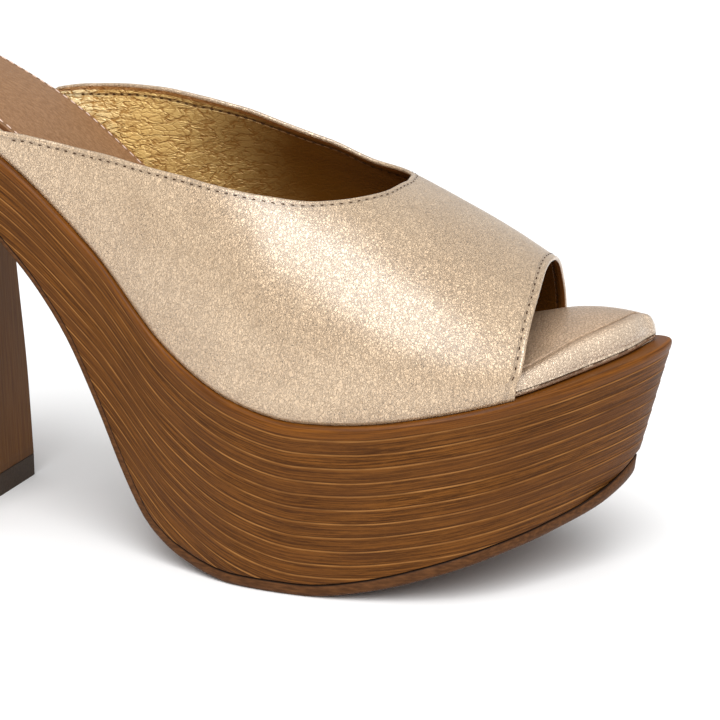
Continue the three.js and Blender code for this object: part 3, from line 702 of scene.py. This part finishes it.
def sole_rubber():
    """Brown moulded rubber: faint strokes on its edge, a near black parting groove as painted shade, and fine
    parallel ribs underneath.
    """
    paint = Paint("sole_rubber", IOR=1.48, Specular_IOR_Level=0.12)
    grain = paint.noise(paint.here((0.25, 0.8, 1.6)), 1, 3, 0.6)
    tread = paint.here((1, 1, 0))
    ribs = paint.add("TexWave", {"bands_direction": "DIAGONAL"}, {"Vector": tread, "Scale": 0.14}, output=1)
    down = paint.plan()[1]
    colour = paint.coats(
        (0.058, 0.022, 0.0068),
        (grain.step(0.3, 0.75), (0.118, 0.047, 0.0155)),
        # Painted shade: the parting groove under the joint is painted near black.
        (1 - down.step(0.3, 0.55), (0.012, 0.005, 0.002)),
    )
    height = grain * 0.05 + ribs * down.step(6, 6.5) * 0.35
    return paint.finish(height, colour, Roughness=0.5 + grain * 0.1)


def plain_finish(name, low, high, roughness, scale, gloss):
    """A fine mottled finish of two near colours."""
    paint = Paint(name, IOR=1.48, Specular_IOR_Level=gloss)
    grain = paint.noise(paint.here(), scale, 3, 0.6)
    colour = paint.coats(low, (grain.step(0.3, 0.7), high))
    return paint.finish(grain * 0.06, colour, Roughness=roughness + grain * 0.1)


vamp_leather = foil_leather()
lining_gold = gold_lining()
insole_leather = wrapped_leather()
sock_brown = sock_leather()
wood_stack = stacked_wood()
wood_heel = heel_wood()
rubber_sole = sole_rubber()
rubber_lift = plain_finish("lift_rubber", (0.037, 0.022, 0.013), (0.056, 0.035, 0.022), 0.55, 1.4, 0.15)
brown_thread = plain_finish("brown_thread", (0.03, 0.012, 0.005), (0.06, 0.025, 0.01), 0.8, 6, 0.05)
rose_thread = plain_finish("rose_thread", (0.6, 0.42, 0.33), (0.75, 0.56, 0.46), 0.8, 6, 0.1)


# Platform

LAYERS = 14
LAYER_DEPTHS = [0.0, 0.15, 0.3, 0.5, 0.75, 1.2, 1.9, 2.6, 3.15, 3.32]
RIM_DEPTHS = [1.8, 2.5, 3.0]
NOTCH_LEAD = 0.3
QUARTER_TURN = np.linspace(0, np.pi / 2, 6)
PLATFORM_STATIONS = 170
SETTLING_ROUNDS = 30


def platform_depths():
    """Depths under the top: a quarter round at the rim, then each layer's groove, head, face and foot."""
    bend = RIM_ROUND * (1 - np.cos(QUARTER_TURN))
    feet = RIM_HEIGHT + LAYER * np.arange(LAYERS)
    return np.concatenate([bend, RIM_DEPTHS, np.add.outer(feet, LAYER_DEPTHS).ravel()])


def platform_inset(depth):
    """Inset of the wall: the rim's round, then a slope from each layer's head to its foot."""
    turned = np.clip(depth / RIM_ROUND, 0, 1)
    rim = RIM_ROUND * (1 - np.sqrt(1 - (1 - turned) ** 2))
    share = np.mod(depth - RIM_HEIGHT, LAYER) / LAYER
    groove = LAYER_GROOVE / LAYER
    notch = LAYER_NOTCH * np.where(share < groove, 1 - share / groove, (share - groove) / (1 - groove))
    return np.where(depth < RIM_HEIGHT - NOTCH_LEAD, rim, notch)


def make_platform():
    """Rings round the outline: at depth d, drawn in by the inset plus lean times d, at the top less d.

    Each column's deepest d settles where the top less d meets the joint, and deeper rings are held there.
    """
    places = outline(PLATFORM_STATIONS)
    deepest = np.zeros(len(places[0]))
    for _ in range(SETTLING_ROUNDS):
        plan = inside(places, 0.0, deepest)
        deepest = (deepest + top_height(plan[:, 0]) - joint_height(plan[:, 0])) / 2
    depths = platform_depths()
    rings = []
    for depth in depths:
        held = np.minimum(depth, deepest)
        plan = inside(places, platform_inset(held), held)
        rings.append(np.column_stack([plan, top_height(plan[:, 0]) - held]))
    down = np.minimum(depths[:, None], np.append(deepest, deepest[0])[None, :])
    skin = Skin()
    skin.grid(np.stack(rings), ring_lengths(rings[0])[None, :], down, around=True)
    ladder(skin, rings[0], PLATFORM_STATIONS)
    ladder(skin, rings[-1], PLATFORM_STATIONS)
    skin.build("stacked_platform", [wood_stack], "platform_wood", "platform")


# Outsole

OUTSOLE_STATIONS = 190
PARTING_GROOVE = [(0.45, 0.08), (0.0, 0.5)]
OUTSOLE_DOWN = [0, 0.4, 1.5, 2, 2.5, 3, 3.5, 4]
UNDERSIDE_DOWN = 9.0


def make_outsole():
    """An edge profile carried round the outline from breast to breast, closed above, below and behind.

    The profile is the parting groove under the joint, then a quarter round down to the underside.
    """
    points, outward = outline(OUTSOLE_STATIONS)
    keep = points[:, 0] > HEEL_INSET + HEEL_LENGTH + GAP
    near = keep[: OUTSOLE_STATIONS + 1].nonzero()[0]
    far = np.arange(OUTSOLE_STATIONS + 1, len(points))[keep[OUTSOLE_STATIONS + 1:]]
    order = np.concatenate([near, far])
    places = (points[order], outward[order])
    edge_x = points[order, 0]
    profile = [(inset, lambda x, low=low: joint_height(x) - low) for inset, low in PARTING_GROOVE]
    for turn in QUARTER_TURN:
        rise = OUTSOLE_ROUND * (1 - np.sin(turn))
        profile.append((OUTSOLE_ROUND * (1 - np.cos(turn)), lambda x, rise=rise: under_height(x) + rise))
    rings = []
    for inset, height_of in profile:
        depth = np.maximum(top_height(edge_x) - height_of(edge_x), 0)
        plan = inside(places, OUTSOLE_INSET + inset, depth)
        rings.append(np.column_stack([plan, height_of(plan[:, 0])]))
    rings = np.stack(rings)
    half = len(near)
    last = rings.shape[1] - 1
    other = np.clip(last - np.arange(half), half - 1, last)
    skin = Skin()
    skin.grid(rings, lengths(rings[1])[None, :], np.array(OUTSOLE_DOWN)[:, None])
    for ring, down in ((rings[0], 0.0), (rings[-1], UNDERSIDE_DOWN)):
        skin.grid(np.stack([ring[:half], ring[other]]), down=np.full((2, half), down))
    skin.grid(np.stack([rings[:, 0], rings[:, -1]]))
    skin.build("outsole_sheet", [rubber_sole], "outsole_rubber", "outsole")


# Heel

HEEL_STATIONS = 34
HEEL_RINGS = 26
LIFT_LEVELS = [0.0, 0.3, 1.0, 3.0, 5.0, 5.8, TOP_LIFT]


def heel_ring(down):
    """Plan of the heel: the seat's outline, drawn in at the back and flared at the sides, corners rounded."""
    back = HEEL_INSET + HEEL_BACK_DRAW * heel_draw(down)
    breast = HEEL_LENGTH + HEEL_BREAST_FLARE * heel_breast(down)
    share = 1 - np.cos(np.pi / 2 * np.arange(1, HEEL_STATIONS + 1) / HEEL_STATIONS)
    x = np.minimum(back + (breast - back) * share, breast - HEEL_CORNER)
    sides = []
    for width_at, sign, flare in ((near_width, -1, HEEL_OUTER_FLARE), (far_width, 1, HEEL_INNER_FLARE)):
        seat = width_at(HEEL_LENGTH * share) - HEEL_INSET - SEAT_DEPTH * SIDE_RAKE
        y = np.maximum(seat + flare * heel_flare(down), 1)
        corner_x = x[-1] + HEEL_CORNER * np.sin(QUARTER_TURN[1:])
        corner_y = y[-1] - HEEL_CORNER * (1 - np.cos(QUARTER_TURN[1:]))
        sides.append(np.column_stack([np.append(x, corner_x), sign * np.append(y, corner_y)]))
    return np.concatenate([[[back, 0]], sides[0], sides[1][::-1]])


def heel_piece(name, shares, heights, paint, slot, node):
    """Rings of the heel at shares down and their heights, closed above and below."""
    plans = [heel_ring(share) for share in shares]
    rings = np.stack([np.column_stack([plan, height(plan[:, 0])]) for plan, height in zip(plans, heights)])
    half = rings.shape[1] // 2
    skin = Skin()
    skin.grid(rings, around=True)
    for ring in (rings[0], rings[-1]):
        far = np.concatenate([ring[:1], ring[half + 1:][::-1]])
        skin.grid(np.stack([ring[: half + 1], far]))
    skin.build(name, [paint], slot, node)


def make_heel():
    """The block from the seat to the lift, and the lift under it."""
    foot = TOP_LIFT + GAP
    shares = np.linspace(0, 1, HEEL_RINGS)
    heights = [lambda x, s=s: (joint_height(x) - SLOPED_GAP) * (1 - s) + foot * s for s in shares]
    heel_piece("heel_veneer", shares, heights, wood_heel, "heel_wood", "heel_block")
    levels = [lambda x, h=h: np.full(len(x), h) for h in LIFT_LEVELS]
    heel_piece("lift_sheet", [1.0] * len(levels), levels, rubber_lift, "top_lift_rubber", "heel_top_lift")


# Insole and sock

INSOLE_STATIONS = 150
NARROWEST = 1
FOOT_LEVELS = (0.0, 0.3, 0.7, 1.4)
FOOT_TUCK = 0.5
TUCK_HEIGHT = 0.7
FOOT_DOWN = 2.0
ROLL_STEPS = 9
LINE_AT = 1.25
LINE_WIDTH = 0.3
LINE_DEPTH = 0.3
FLAT_INSETS = (0.3, 0.6, 0.85, 1.05, LINE_AT, 1.45, 1.65, 1.9, 2.3, 2.9, 3.8, 5.0, 6.6)
SPINE_SHARES = (0.92, 0.84, 0.74, 0.62, 0.48, 0.32, 0.15, 0.0)
SPINE_DOWN = 20
SOCK_EDGE = INSOLE_INSET + SOCK_INSET
SOCK_HEEL_ROUND = 14
SOCK_ROWS = 110
SOCK_COLUMNS = 21
SOCK_MARGINS = (0, 0.12, 0.3, 0.6, 1.0, 1.4, 1.8, 2.3, 3.2, 4.5)
WIDEST_MARGIN = 0.12
SOCK_ROUND = 0.5
SOCK_SWELL = 0.9
SOCK_LIFT = 0.02
SOCK_SINK = 0.05


def towards_toe(x, heel, toe):
    """A size of the insole at x, growing from its value at the heel to its value at the toe."""
    return heel + (toe - heel) * smooth((x / LENGTH - TOE_FROM) / (TOE_TO - TOE_FROM))


def insole_height(x, y):
    """Top of the insole over its base: edge thickness, plus the arch's lift, plus a bell across.

    The bell is (1 - across ** inner) ** outer with across from 0 at the crest to 1 at the edge.
    """
    fade = np.sin(np.pi / 2 * np.clip((LENGTH - x) / TOE_FADE, 0, 1))
    crest = (far_width(x) - near_width(x)) / 2 + towards_toe(x, 0, CROWN_LEAN) * fade
    half = np.maximum(np.where(y < crest, crest + near_width(x), far_width(x) - crest), NARROWEST)
    across = np.minimum(np.abs(y - crest) / half, 1)
    crown = towards_toe(x, INSOLE_CROWN, TOE_CROWN) * smooth(x / CROWN_FADE) * fade
    inner, outer = (towards_toe(x, heel, toe) for heel, toe in zip(HEEL_BULGE, TOE_BULGE))
    at = x / LENGTH
    growing = smooth((at - ARCH_FROM) / (ARCH_PEAK - ARCH_FROM))
    fading = smooth((ARCH_TO - at) / (ARCH_TO - ARCH_PEAK))
    arch = ARCH_RISE * growing * fading * smooth((y - crest) / half)
    return towards_toe(x, INSOLE, TOE_EDGE) + arch + crown * (1 - across ** inner) ** outer


def insole_surface(x, y):
    """Height of the insole's top above the floor."""
    return top_height(x) + GAP + insole_height(x, y)


def make_insole():
    """Rings from the tucked foot of its side over a quarter round and in towards the spine.

    An impressed line sinks the rings near LINE_AT by a bell of their distance from it.
    """
    places = outline(INSOLE_STATIONS)
    along, sideways = places[0].T
    roll = INSOLE_ROLL * towards_toe(along, HEEL_ROLL_SHARE, 1)
    drawn = smooth((along / LENGTH - MARGIN_FROM) / (MARGIN_TO - MARGIN_FROM))
    margin = TOE_MARGIN * drawn * smooth((MARGIN_END - sideways) / MARGIN_FADE)
    rings = []
    down = []

    def add(inset, height, at):
        x, y = inside(places, INSOLE_INSET + margin + inset).T
        rings.append(np.stack([x, y, height(x, y)], -1))
        down.append(at)

    for level in FOOT_LEVELS:
        tuck = FOOT_TUCK * (1 - min(level / TUCK_HEIGHT, 1)) ** 2
        add(tuck, lambda x, y: top_height(x) + GAP + level, level - FOOT_DOWN)
    for angle in np.linspace(0, np.pi / 2, ROLL_STEPS):
        def rolled(x, y):
            low = top_height(x) + GAP + towards_toe(x, INSOLE, TOE_EDGE) - roll
            return low + (insole_surface(x, y) - low) * np.sin(angle)
        add(roll * (1 - np.cos(angle)), rolled, angle / (np.pi / 2) * INSOLE_ROLL)
    for inset in FLAT_INSETS:
        sink = LINE_DEPTH * np.exp(-((inset - LINE_AT) / LINE_WIDTH) ** 2)
        add(roll + inset, lambda x, y: insole_surface(x, y) - sink, INSOLE_ROLL + inset)
    edge = rings[-1]
    spine_x = np.clip(edge[:, 0], LENGTH * SPINE_FROM, LENGTH * SPINE_TO)
    spine_y = (far_width(spine_x) - near_width(spine_x)) / 2
    for share in SPINE_SHARES:
        x = spine_x + (edge[:, 0] - spine_x) * share
        y = spine_y + (edge[:, 1] - spine_y) * share
        rings.append(np.column_stack([x, y, insole_surface(x, y)]))
        down.append(INSOLE_ROLL + FLAT_INSETS[-1] + (1 - share) * SPINE_DOWN)
    skin = Skin()
    round_way = ring_lengths(rings[len(FOOT_LEVELS)])
    skin.grid(np.stack(rings), round_way[None, :], np.array(down)[:, None], around=True)
    ladder(skin, rings[0], INSOLE_STATIONS)
    skin.build("wrapped_insole", [insole_leather], "insole_leather", "insole")


def sock_edges(x, inset):
    """Outer and inner edge of the sock at x, drawn together in a round at the heel back."""
    share = np.clip((x - SOCK_EDGE) / SOCK_HEEL_ROUND, 0, 1)
    rounding = np.sqrt(np.clip(1 - (1 - share) ** 2, 0, 1))
    near = -(near_width(x) - SOCK_EDGE - inset) * rounding
    far = (far_width(x) - SOCK_EDGE - inset) * rounding
    return near, far


def make_sock():
    """A thin cover: a grid between its two edges, lying on the insole, with a soft round along its rim."""
    x = SOCK_EDGE + (SOCK_LENGTH - SOCK_EDGE) * (1 - np.cos(np.linspace(0, np.pi / 2, SOCK_ROWS)))
    x[0] = SOCK_EDGE + SOCK_LIFT / 2
    near, far = sock_edges(x, 0.0)
    wide = np.maximum(far - near, NARROWEST)
    margins = [np.minimum(margin, wide * WIDEST_MARGIN) for margin in SOCK_MARGINS]
    middle = wide - 2 * margins[-1]
    columns = [near + margin for margin in margins]
    columns += [near + margins[-1] + middle * share for share in np.linspace(0, 1, SOCK_COLUMNS)[1:-1]]
    columns += [far - margin for margin in margins[::-1]]
    y = np.stack(columns, 1)
    xs = np.broadcast_to(x[:, None], y.shape)
    rim = np.minimum(np.minimum(y - near[:, None], far[:, None] - y), xs - x[0])
    lift = SOCK * np.sqrt(np.clip(1 - (1 - np.clip(rim / SOCK_ROUND, 0, 1)) ** 2, 0, 1))
    low = insole_surface(xs, y) + SOCK_LIFT
    top = np.stack([xs, y, low + lift * SOCK_SWELL + SOCK_SINK], -1)
    base = np.stack([xs, y, low - SOCK_SINK], -1)
    skin = Skin()
    skin.grid(top, edge=rim)
    skin.grid(base, edge=rim)
    for side in (np.s_[:, 0], np.s_[:, -1], np.s_[0], np.s_[-1]):
        skin.grid(np.stack([top[side], base[side]]))
    skin.build("sock_cover", [sock_brown], "sock_leather", "sock")


# Upper

VAMP_LINES = 56
VAMP_COLUMNS = 104
CROWDING = 0.11
FOOT_ROWS = 5
FOOT_LIFT = 0.12
TURN_STEPS = 7
EDGE_STEP = 1e-3
SHORTEST_LINE = 12


def vamp_lines():
    """Lines round the last, outer foot to inner foot: turn, place at the peep, place and turn at the top."""
    turns = np.linspace(0, 90, VAMP_LINES)
    outer, inner = (np.stack([turns] + [curve(rows, column)(turns) for column in (1, 2, 3)], -1)
                    for rows in (OUTER_LINES, INNER_LINES))
    inner = inner[::-1][1:]
    inner[:, [0, 3]] = 180 - inner[:, [0, 3]]
    return np.concatenate([outer, inner])


def vamp_sheet(lines, back, inset):
    """Points on lines at shares back: the last's section at the place and turn between peep and topline."""
    turn = lines[:, None, 0] + (lines[:, None, 3] - lines[:, None, 0]) * back
    x = LENGTH * (lines[:, None, 1] + (lines[:, None, 2] - lines[:, None, 1]) * back)
    return last_point(x, turn, inset)


def foot_rows(row, foot, back, side, inset):
    """Rows of the upright band under a foot line, down to the platform, tucked in at the bottom."""
    x = LENGTH * (foot[0] + (foot[1] - foot[0]) * back)
    edge = np.where(side < 0, -near_width(x), far_width(x))
    low = np.stack([x, edge - side * (UPPER_INSET + inset), top_height(x) + FOOT_LIFT], -1)
    rows = []
    for share in np.arange(FOOT_ROWS) / FOOT_ROWS:
        points = low + (row - low) * share
        points[:, 1] -= side * UPPER_TUCK * (1 - share) ** 3
        rows.append(points)
    return rows


def turned_edge(outer, inner, towards):
    """Half round from the outer to the inner surface, bulging towards the edge that it turns over."""
    centre = (outer + inner) / 2
    radius = np.linalg.norm(outer - inner, axis=1)[:, None] / 2
    thick = unit(outer - inner)
    out = unit(np.cross(thick, unit(np.gradient(centre, axis=0))))
    out *= np.sign((out * towards).sum(1))[:, None]
    angles = np.linspace(0, np.pi, TURN_STEPS + 2)[1:-1]
    return np.stack([centre + radius * (thick * np.cos(a) + out * np.sin(a)) for a in angles], 1)


def wall_at(back, per_peep, per_top):
    """Wall thickness: its edge value at the peep and the topline, growing smoothly to the full value."""
    from_edge = np.minimum(back / per_peep, (1 - back) / per_top)
    return UPPER_EDGE + (UPPER_WALL - UPPER_EDGE) * smooth(from_edge / EDGE_TAPER)


def edge_room(lines, at, distance):
    """Share of each line that lies within a distance of its end, measured square to the edge."""
    step = EDGE_STEP if at < 0.5 else -EDGE_STEP
    end, beside = (vamp_sheet(lines, np.full((len(lines), 1), place), 0.0)[:, 0] for place in (at, at + step))
    direction = (beside - end) / EDGE_STEP
    along = unit(np.gradient(end, axis=0))
    square = direction - (direction * along).sum(1)[:, None] * along
    return distance / np.maximum(np.linalg.norm(square, axis=1), SHORTEST_LINE)


def vamp_back(low, high):
    """Shares back for each line between its two rounded edges, closer together near both."""
    t = np.linspace(0, 1, VAMP_COLUMNS)
    t = t - CROWDING * np.sin(2 * np.pi * t)
    return low[:, None] + (1 - high - low)[:, None] * t[None, :]


def make_upper(lines):
    """One loop per line: outer surface, turned topline, lining, turned peep; the loops run foot to foot."""
    radius = UPPER_EDGE / 2
    back = vamp_back(edge_room(lines, 0.0, radius), edge_room(lines, 1.0, radius))
    per_peep, per_top = (edge_room(lines, at, 1.0) for at in (0.0, 1.0))
    wall = wall_at(back, per_peep[:, None], per_top[:, None])

    def with_feet(sheet, first_inset, last_inset):
        first = foot_rows(sheet[0], OUTER_FOOT, back[0], -1, first_inset)
        last = foot_rows(sheet[-1], INNER_FOOT, back[-1], 1, last_inset)
        return np.concatenate([np.stack(first), sheet, np.stack(last[::-1])])

    outer = with_feet(vamp_sheet(lines, back, 0.0), 0.0, 0.0)
    inner = with_feet(vamp_sheet(lines, back, wall), wall[0], wall[-1])
    peep = turned_edge(inner[:, 0], outer[:, 0], outer[:, 0] - outer[:, 2])
    top = turned_edge(outer[:, -1], inner[:, -1], outer[:, -1] - outer[:, -3])
    loops = np.concatenate([outer, top, inner[:, ::-1], peep], 1)
    per_peep, per_top = (np.pad(1 / per, FOOT_ROWS, mode="edge")[:, None] for per in (per_peep, per_top))
    wide_back = np.pad(back, ((FOOT_ROWS, FOOT_ROWS), (0, 0)), mode="edge")
    from_edge = np.minimum(wide_back * per_peep, (1 - wide_back) * per_top)
    none = np.zeros((len(loops), TURN_STEPS))
    edge = np.concatenate([from_edge, none, np.maximum(from_edge[:, ::-1] - radius, 0), none], 1)
    inside_from = VAMP_COLUMNS + TURN_STEPS
    kinds = np.zeros(loops.shape[1], int)
    kinds[inside_from: inside_from + VAMP_COLUMNS] = 1
    around = lengths(outer[:, VAMP_COLUMNS // 2])[:, None]
    along = np.pad(lengths(outer[len(outer) // 2]), (0, inside_from + TURN_STEPS + 1))
    skin = Skin()
    skin.grid(loops, along[None, :], around, around=True, kind=kinds[None, :], edge=edge)
    for row in (loops[0], loops[-1]):
        first = np.roll(row, TURN_STEPS - TURN_STEPS // 2, 0)
        half = len(row) // 2
        skin.grid(np.stack([first[:half], first[::-1][:half]]))
    skin.build("vamp_and_lining", [vamp_leather, lining_gold], "upper_leather", "upper")


# Stitches

LINING_DEPTH = UPPER_EDGE + 0.15

# Rows on the vamp: end of the lines, distance from it, depth inside, lines left out, then the thread's
# pitch, length, width and lift
VAMP_STITCHES = [
    (1.0, 1.6, 0.0, 2, 2.3, 1.05, 0.36, -0.05), (0.0, 1.5, 0.0, 1, 2.4, 1.05, 0.36, -0.05),
    (1.0, 2.6, LINING_DEPTH, 3, 2.3, 1.1, 0.34, 0.0), (0.0, 2.6, LINING_DEPTH, 1, 2.4, 1.1, 0.34, 0.0),
]
SOCK_THREAD = (2.6, 1.7, 0.56, 0.06)
SOCK_STITCH_INSET = 1.7
SOCK_STITCHES_FROM = 7
SOCK_STITCHES_TO = SOCK_LENGTH - 12
SOCK_PATH_POINTS = 400
BESIDE = 0.002
AHEAD = 0.5
THREAD_SIDES = 8
THREAD_RINGS = 7


def stitch_row(path, normals, pitch, length, width, lift, skin):
    """Short rounded threads along a path: a long ball at each pitch, its width and height across the path."""
    run = lengths(path)
    count = int(run[-1] // pitch)
    middles = (np.arange(count) + 0.5) * run[-1] / count

    def on(rows, at):
        return np.stack([np.interp(at, run, rows[:, i]) for i in range(3)], -1)

    normal = unit(on(normals, middles))
    along = unit(on(path, middles + AHEAD) - on(path, middles - AHEAD))
    frames = np.stack([along, np.cross(normal, along), normal], 1)
    turns = np.linspace(0, 2 * np.pi, THREAD_SIDES + 1)[:-1]
    turn, fall = np.meshgrid(turns, np.linspace(0, np.pi, THREAD_RINGS))
    ball = np.stack([np.cos(fall), np.sin(fall) * np.cos(turn), np.sin(fall) * np.sin(turn)], -1)
    ball = ball * (length / 2, width / 2, width / 2)
    for middle, axes, up in zip(on(path, middles), frames, normal):
        skin.grid(middle + up * lift + ball @ axes, around=True)


def path_on_vamp(lines, at, distance, inset, skip):
    """Path at a distance from one edge of the vamp, with the surface's normals, outer side to inner side."""
    room = edge_room(lines, at, distance)
    back = room[:, None] if at < 0.5 else 1 - room[:, None]
    points = vamp_sheet(lines, back, inset)[:, 0]
    beside = vamp_sheet(lines, back + BESIDE, inset)[:, 0]
    normal = unit(np.cross(beside - points, np.gradient(points, axis=0)))
    x = points[:, 0]
    outward = points - np.stack([x, np.full(len(x), CREST), top_height(x)], -1)
    normal *= np.sign((normal * outward).sum(1))[:, None] * (-1 if inset else 1)
    return points[skip: len(points) - skip], normal[skip: len(points) - skip]


def make_stitches(lines):
    """Two rows on the vamp, seen outside and inside, and one round the sock."""
    vamp = Skin()
    for at, distance, inset, skip, *thread in VAMP_STITCHES:
        stitch_row(*path_on_vamp(lines, at, distance, inset, skip), *thread, vamp)
    vamp.build("vamp_stitches", [brown_thread], "upper_leather")
    sock = Skin()
    x = np.linspace(SOCK_STITCHES_FROM, SOCK_STITCHES_TO, SOCK_PATH_POINTS)
    sides = sock_edges(x, SOCK_STITCH_INSET)
    outer, inner = (np.stack([x, y, insole_surface(x, y) + SOCK], -1) for y in sides)
    up = np.tile([0.0, 0.0, 1.0], (2 * len(x), 1))
    stitch_row(np.concatenate([outer[::-1], inner]), up, *SOCK_THREAD, sock)
    sock.build("sock_stitches", [rose_thread], "sock_leather")


make_platform()
make_outsole()
make_heel()
make_insole()
make_sock()
make_upper(vamp_lines())
make_stitches(vamp_lines())


# Floor, light and camera

FLOOR_HALF = 9
ROOM_LIGHT = 0.63
FRONT_LIGHT = 2.5
FRONT_SPREAD = 48
FRONT_WAY = (-0.2, 0.65, -0.73)
BOX_LIGHT = 4
BOX_PLACE = (0.1, -0.35, 1.3)
BOX_WAY = (-0.1, 0.35, -1.25)
BOX_SIZE = (0.9, 0.7)
CAMERA_PLACE = (0.198908, -0.502915, 0.182076)
CAMERA_WAY = (-0.29468137, 0.9233628, -0.24609761)


def stand(name, data, place_at, way):
    """An object that looks or shines along a way."""
    piece = bpy.data.objects.new(name, data)
    piece.location = place_at
    piece.rotation_euler = Vector(way).to_track_quat("-Z", "Y").to_euler()
    bpy.context.scene.collection.objects.link(piece)
    return piece


def make_floor():
    """A pale floor that carries soft shadows."""
    mesh = bpy.data.meshes.new("floor")
    corners = [(x * FLOOR_HALF, y * FLOOR_HALF, 0) for x, y in ((-1, -1), (1, -1), (1, 1), (-1, 1))]
    mesh.from_pydata(corners, [], [(0, 1, 2, 3)])
    floor = bpy.data.objects.new("floor", mesh)
    mesh.materials.append(Paint("pale_floor", Base_Color=(0.93, 0.93, 0.93), Roughness=0.9).material)
    bpy.context.scene.collection.objects.link(floor)


def make_light():
    """Pale surroundings, a wide soft light from the front and above, and a large box overhead."""
    world = bpy.data.worlds.new("pale_room")
    world.use_nodes = True
    back = world.node_tree.nodes["Background"]
    back.inputs[0].default_value = (1, 1, 1, 1)
    back.inputs[1].default_value = ROOM_LIGHT
    bpy.context.scene.world = world
    front = bpy.data.lights.new("front_light", "SUN")
    front.energy = FRONT_LIGHT
    front.angle = np.radians(FRONT_SPREAD)
    stand("front_light", front, (0, 0, 0), FRONT_WAY)
    box = bpy.data.lights.new("overhead_box", "AREA")
    box.shape = "RECTANGLE"
    box.size, box.size_y = BOX_SIZE
    box.energy = BOX_LIGHT
    stand("overhead_box", box, BOX_PLACE, BOX_WAY)


def make_camera():
    """The view: from the outer side, turned towards the toe, a little from above."""
    data = bpy.data.cameras.new("photo_view")
    data.sensor_width = 36
    data.lens = 110.04
    data.clip_start = 0.01
    data.clip_end = 50
    bpy.context.scene.camera = stand("photo_view", data, CAMERA_PLACE, CAMERA_WAY)


make_floor()
make_light()
make_camera()
bpy.context.scene.view_settings.view_transform = "Standard"
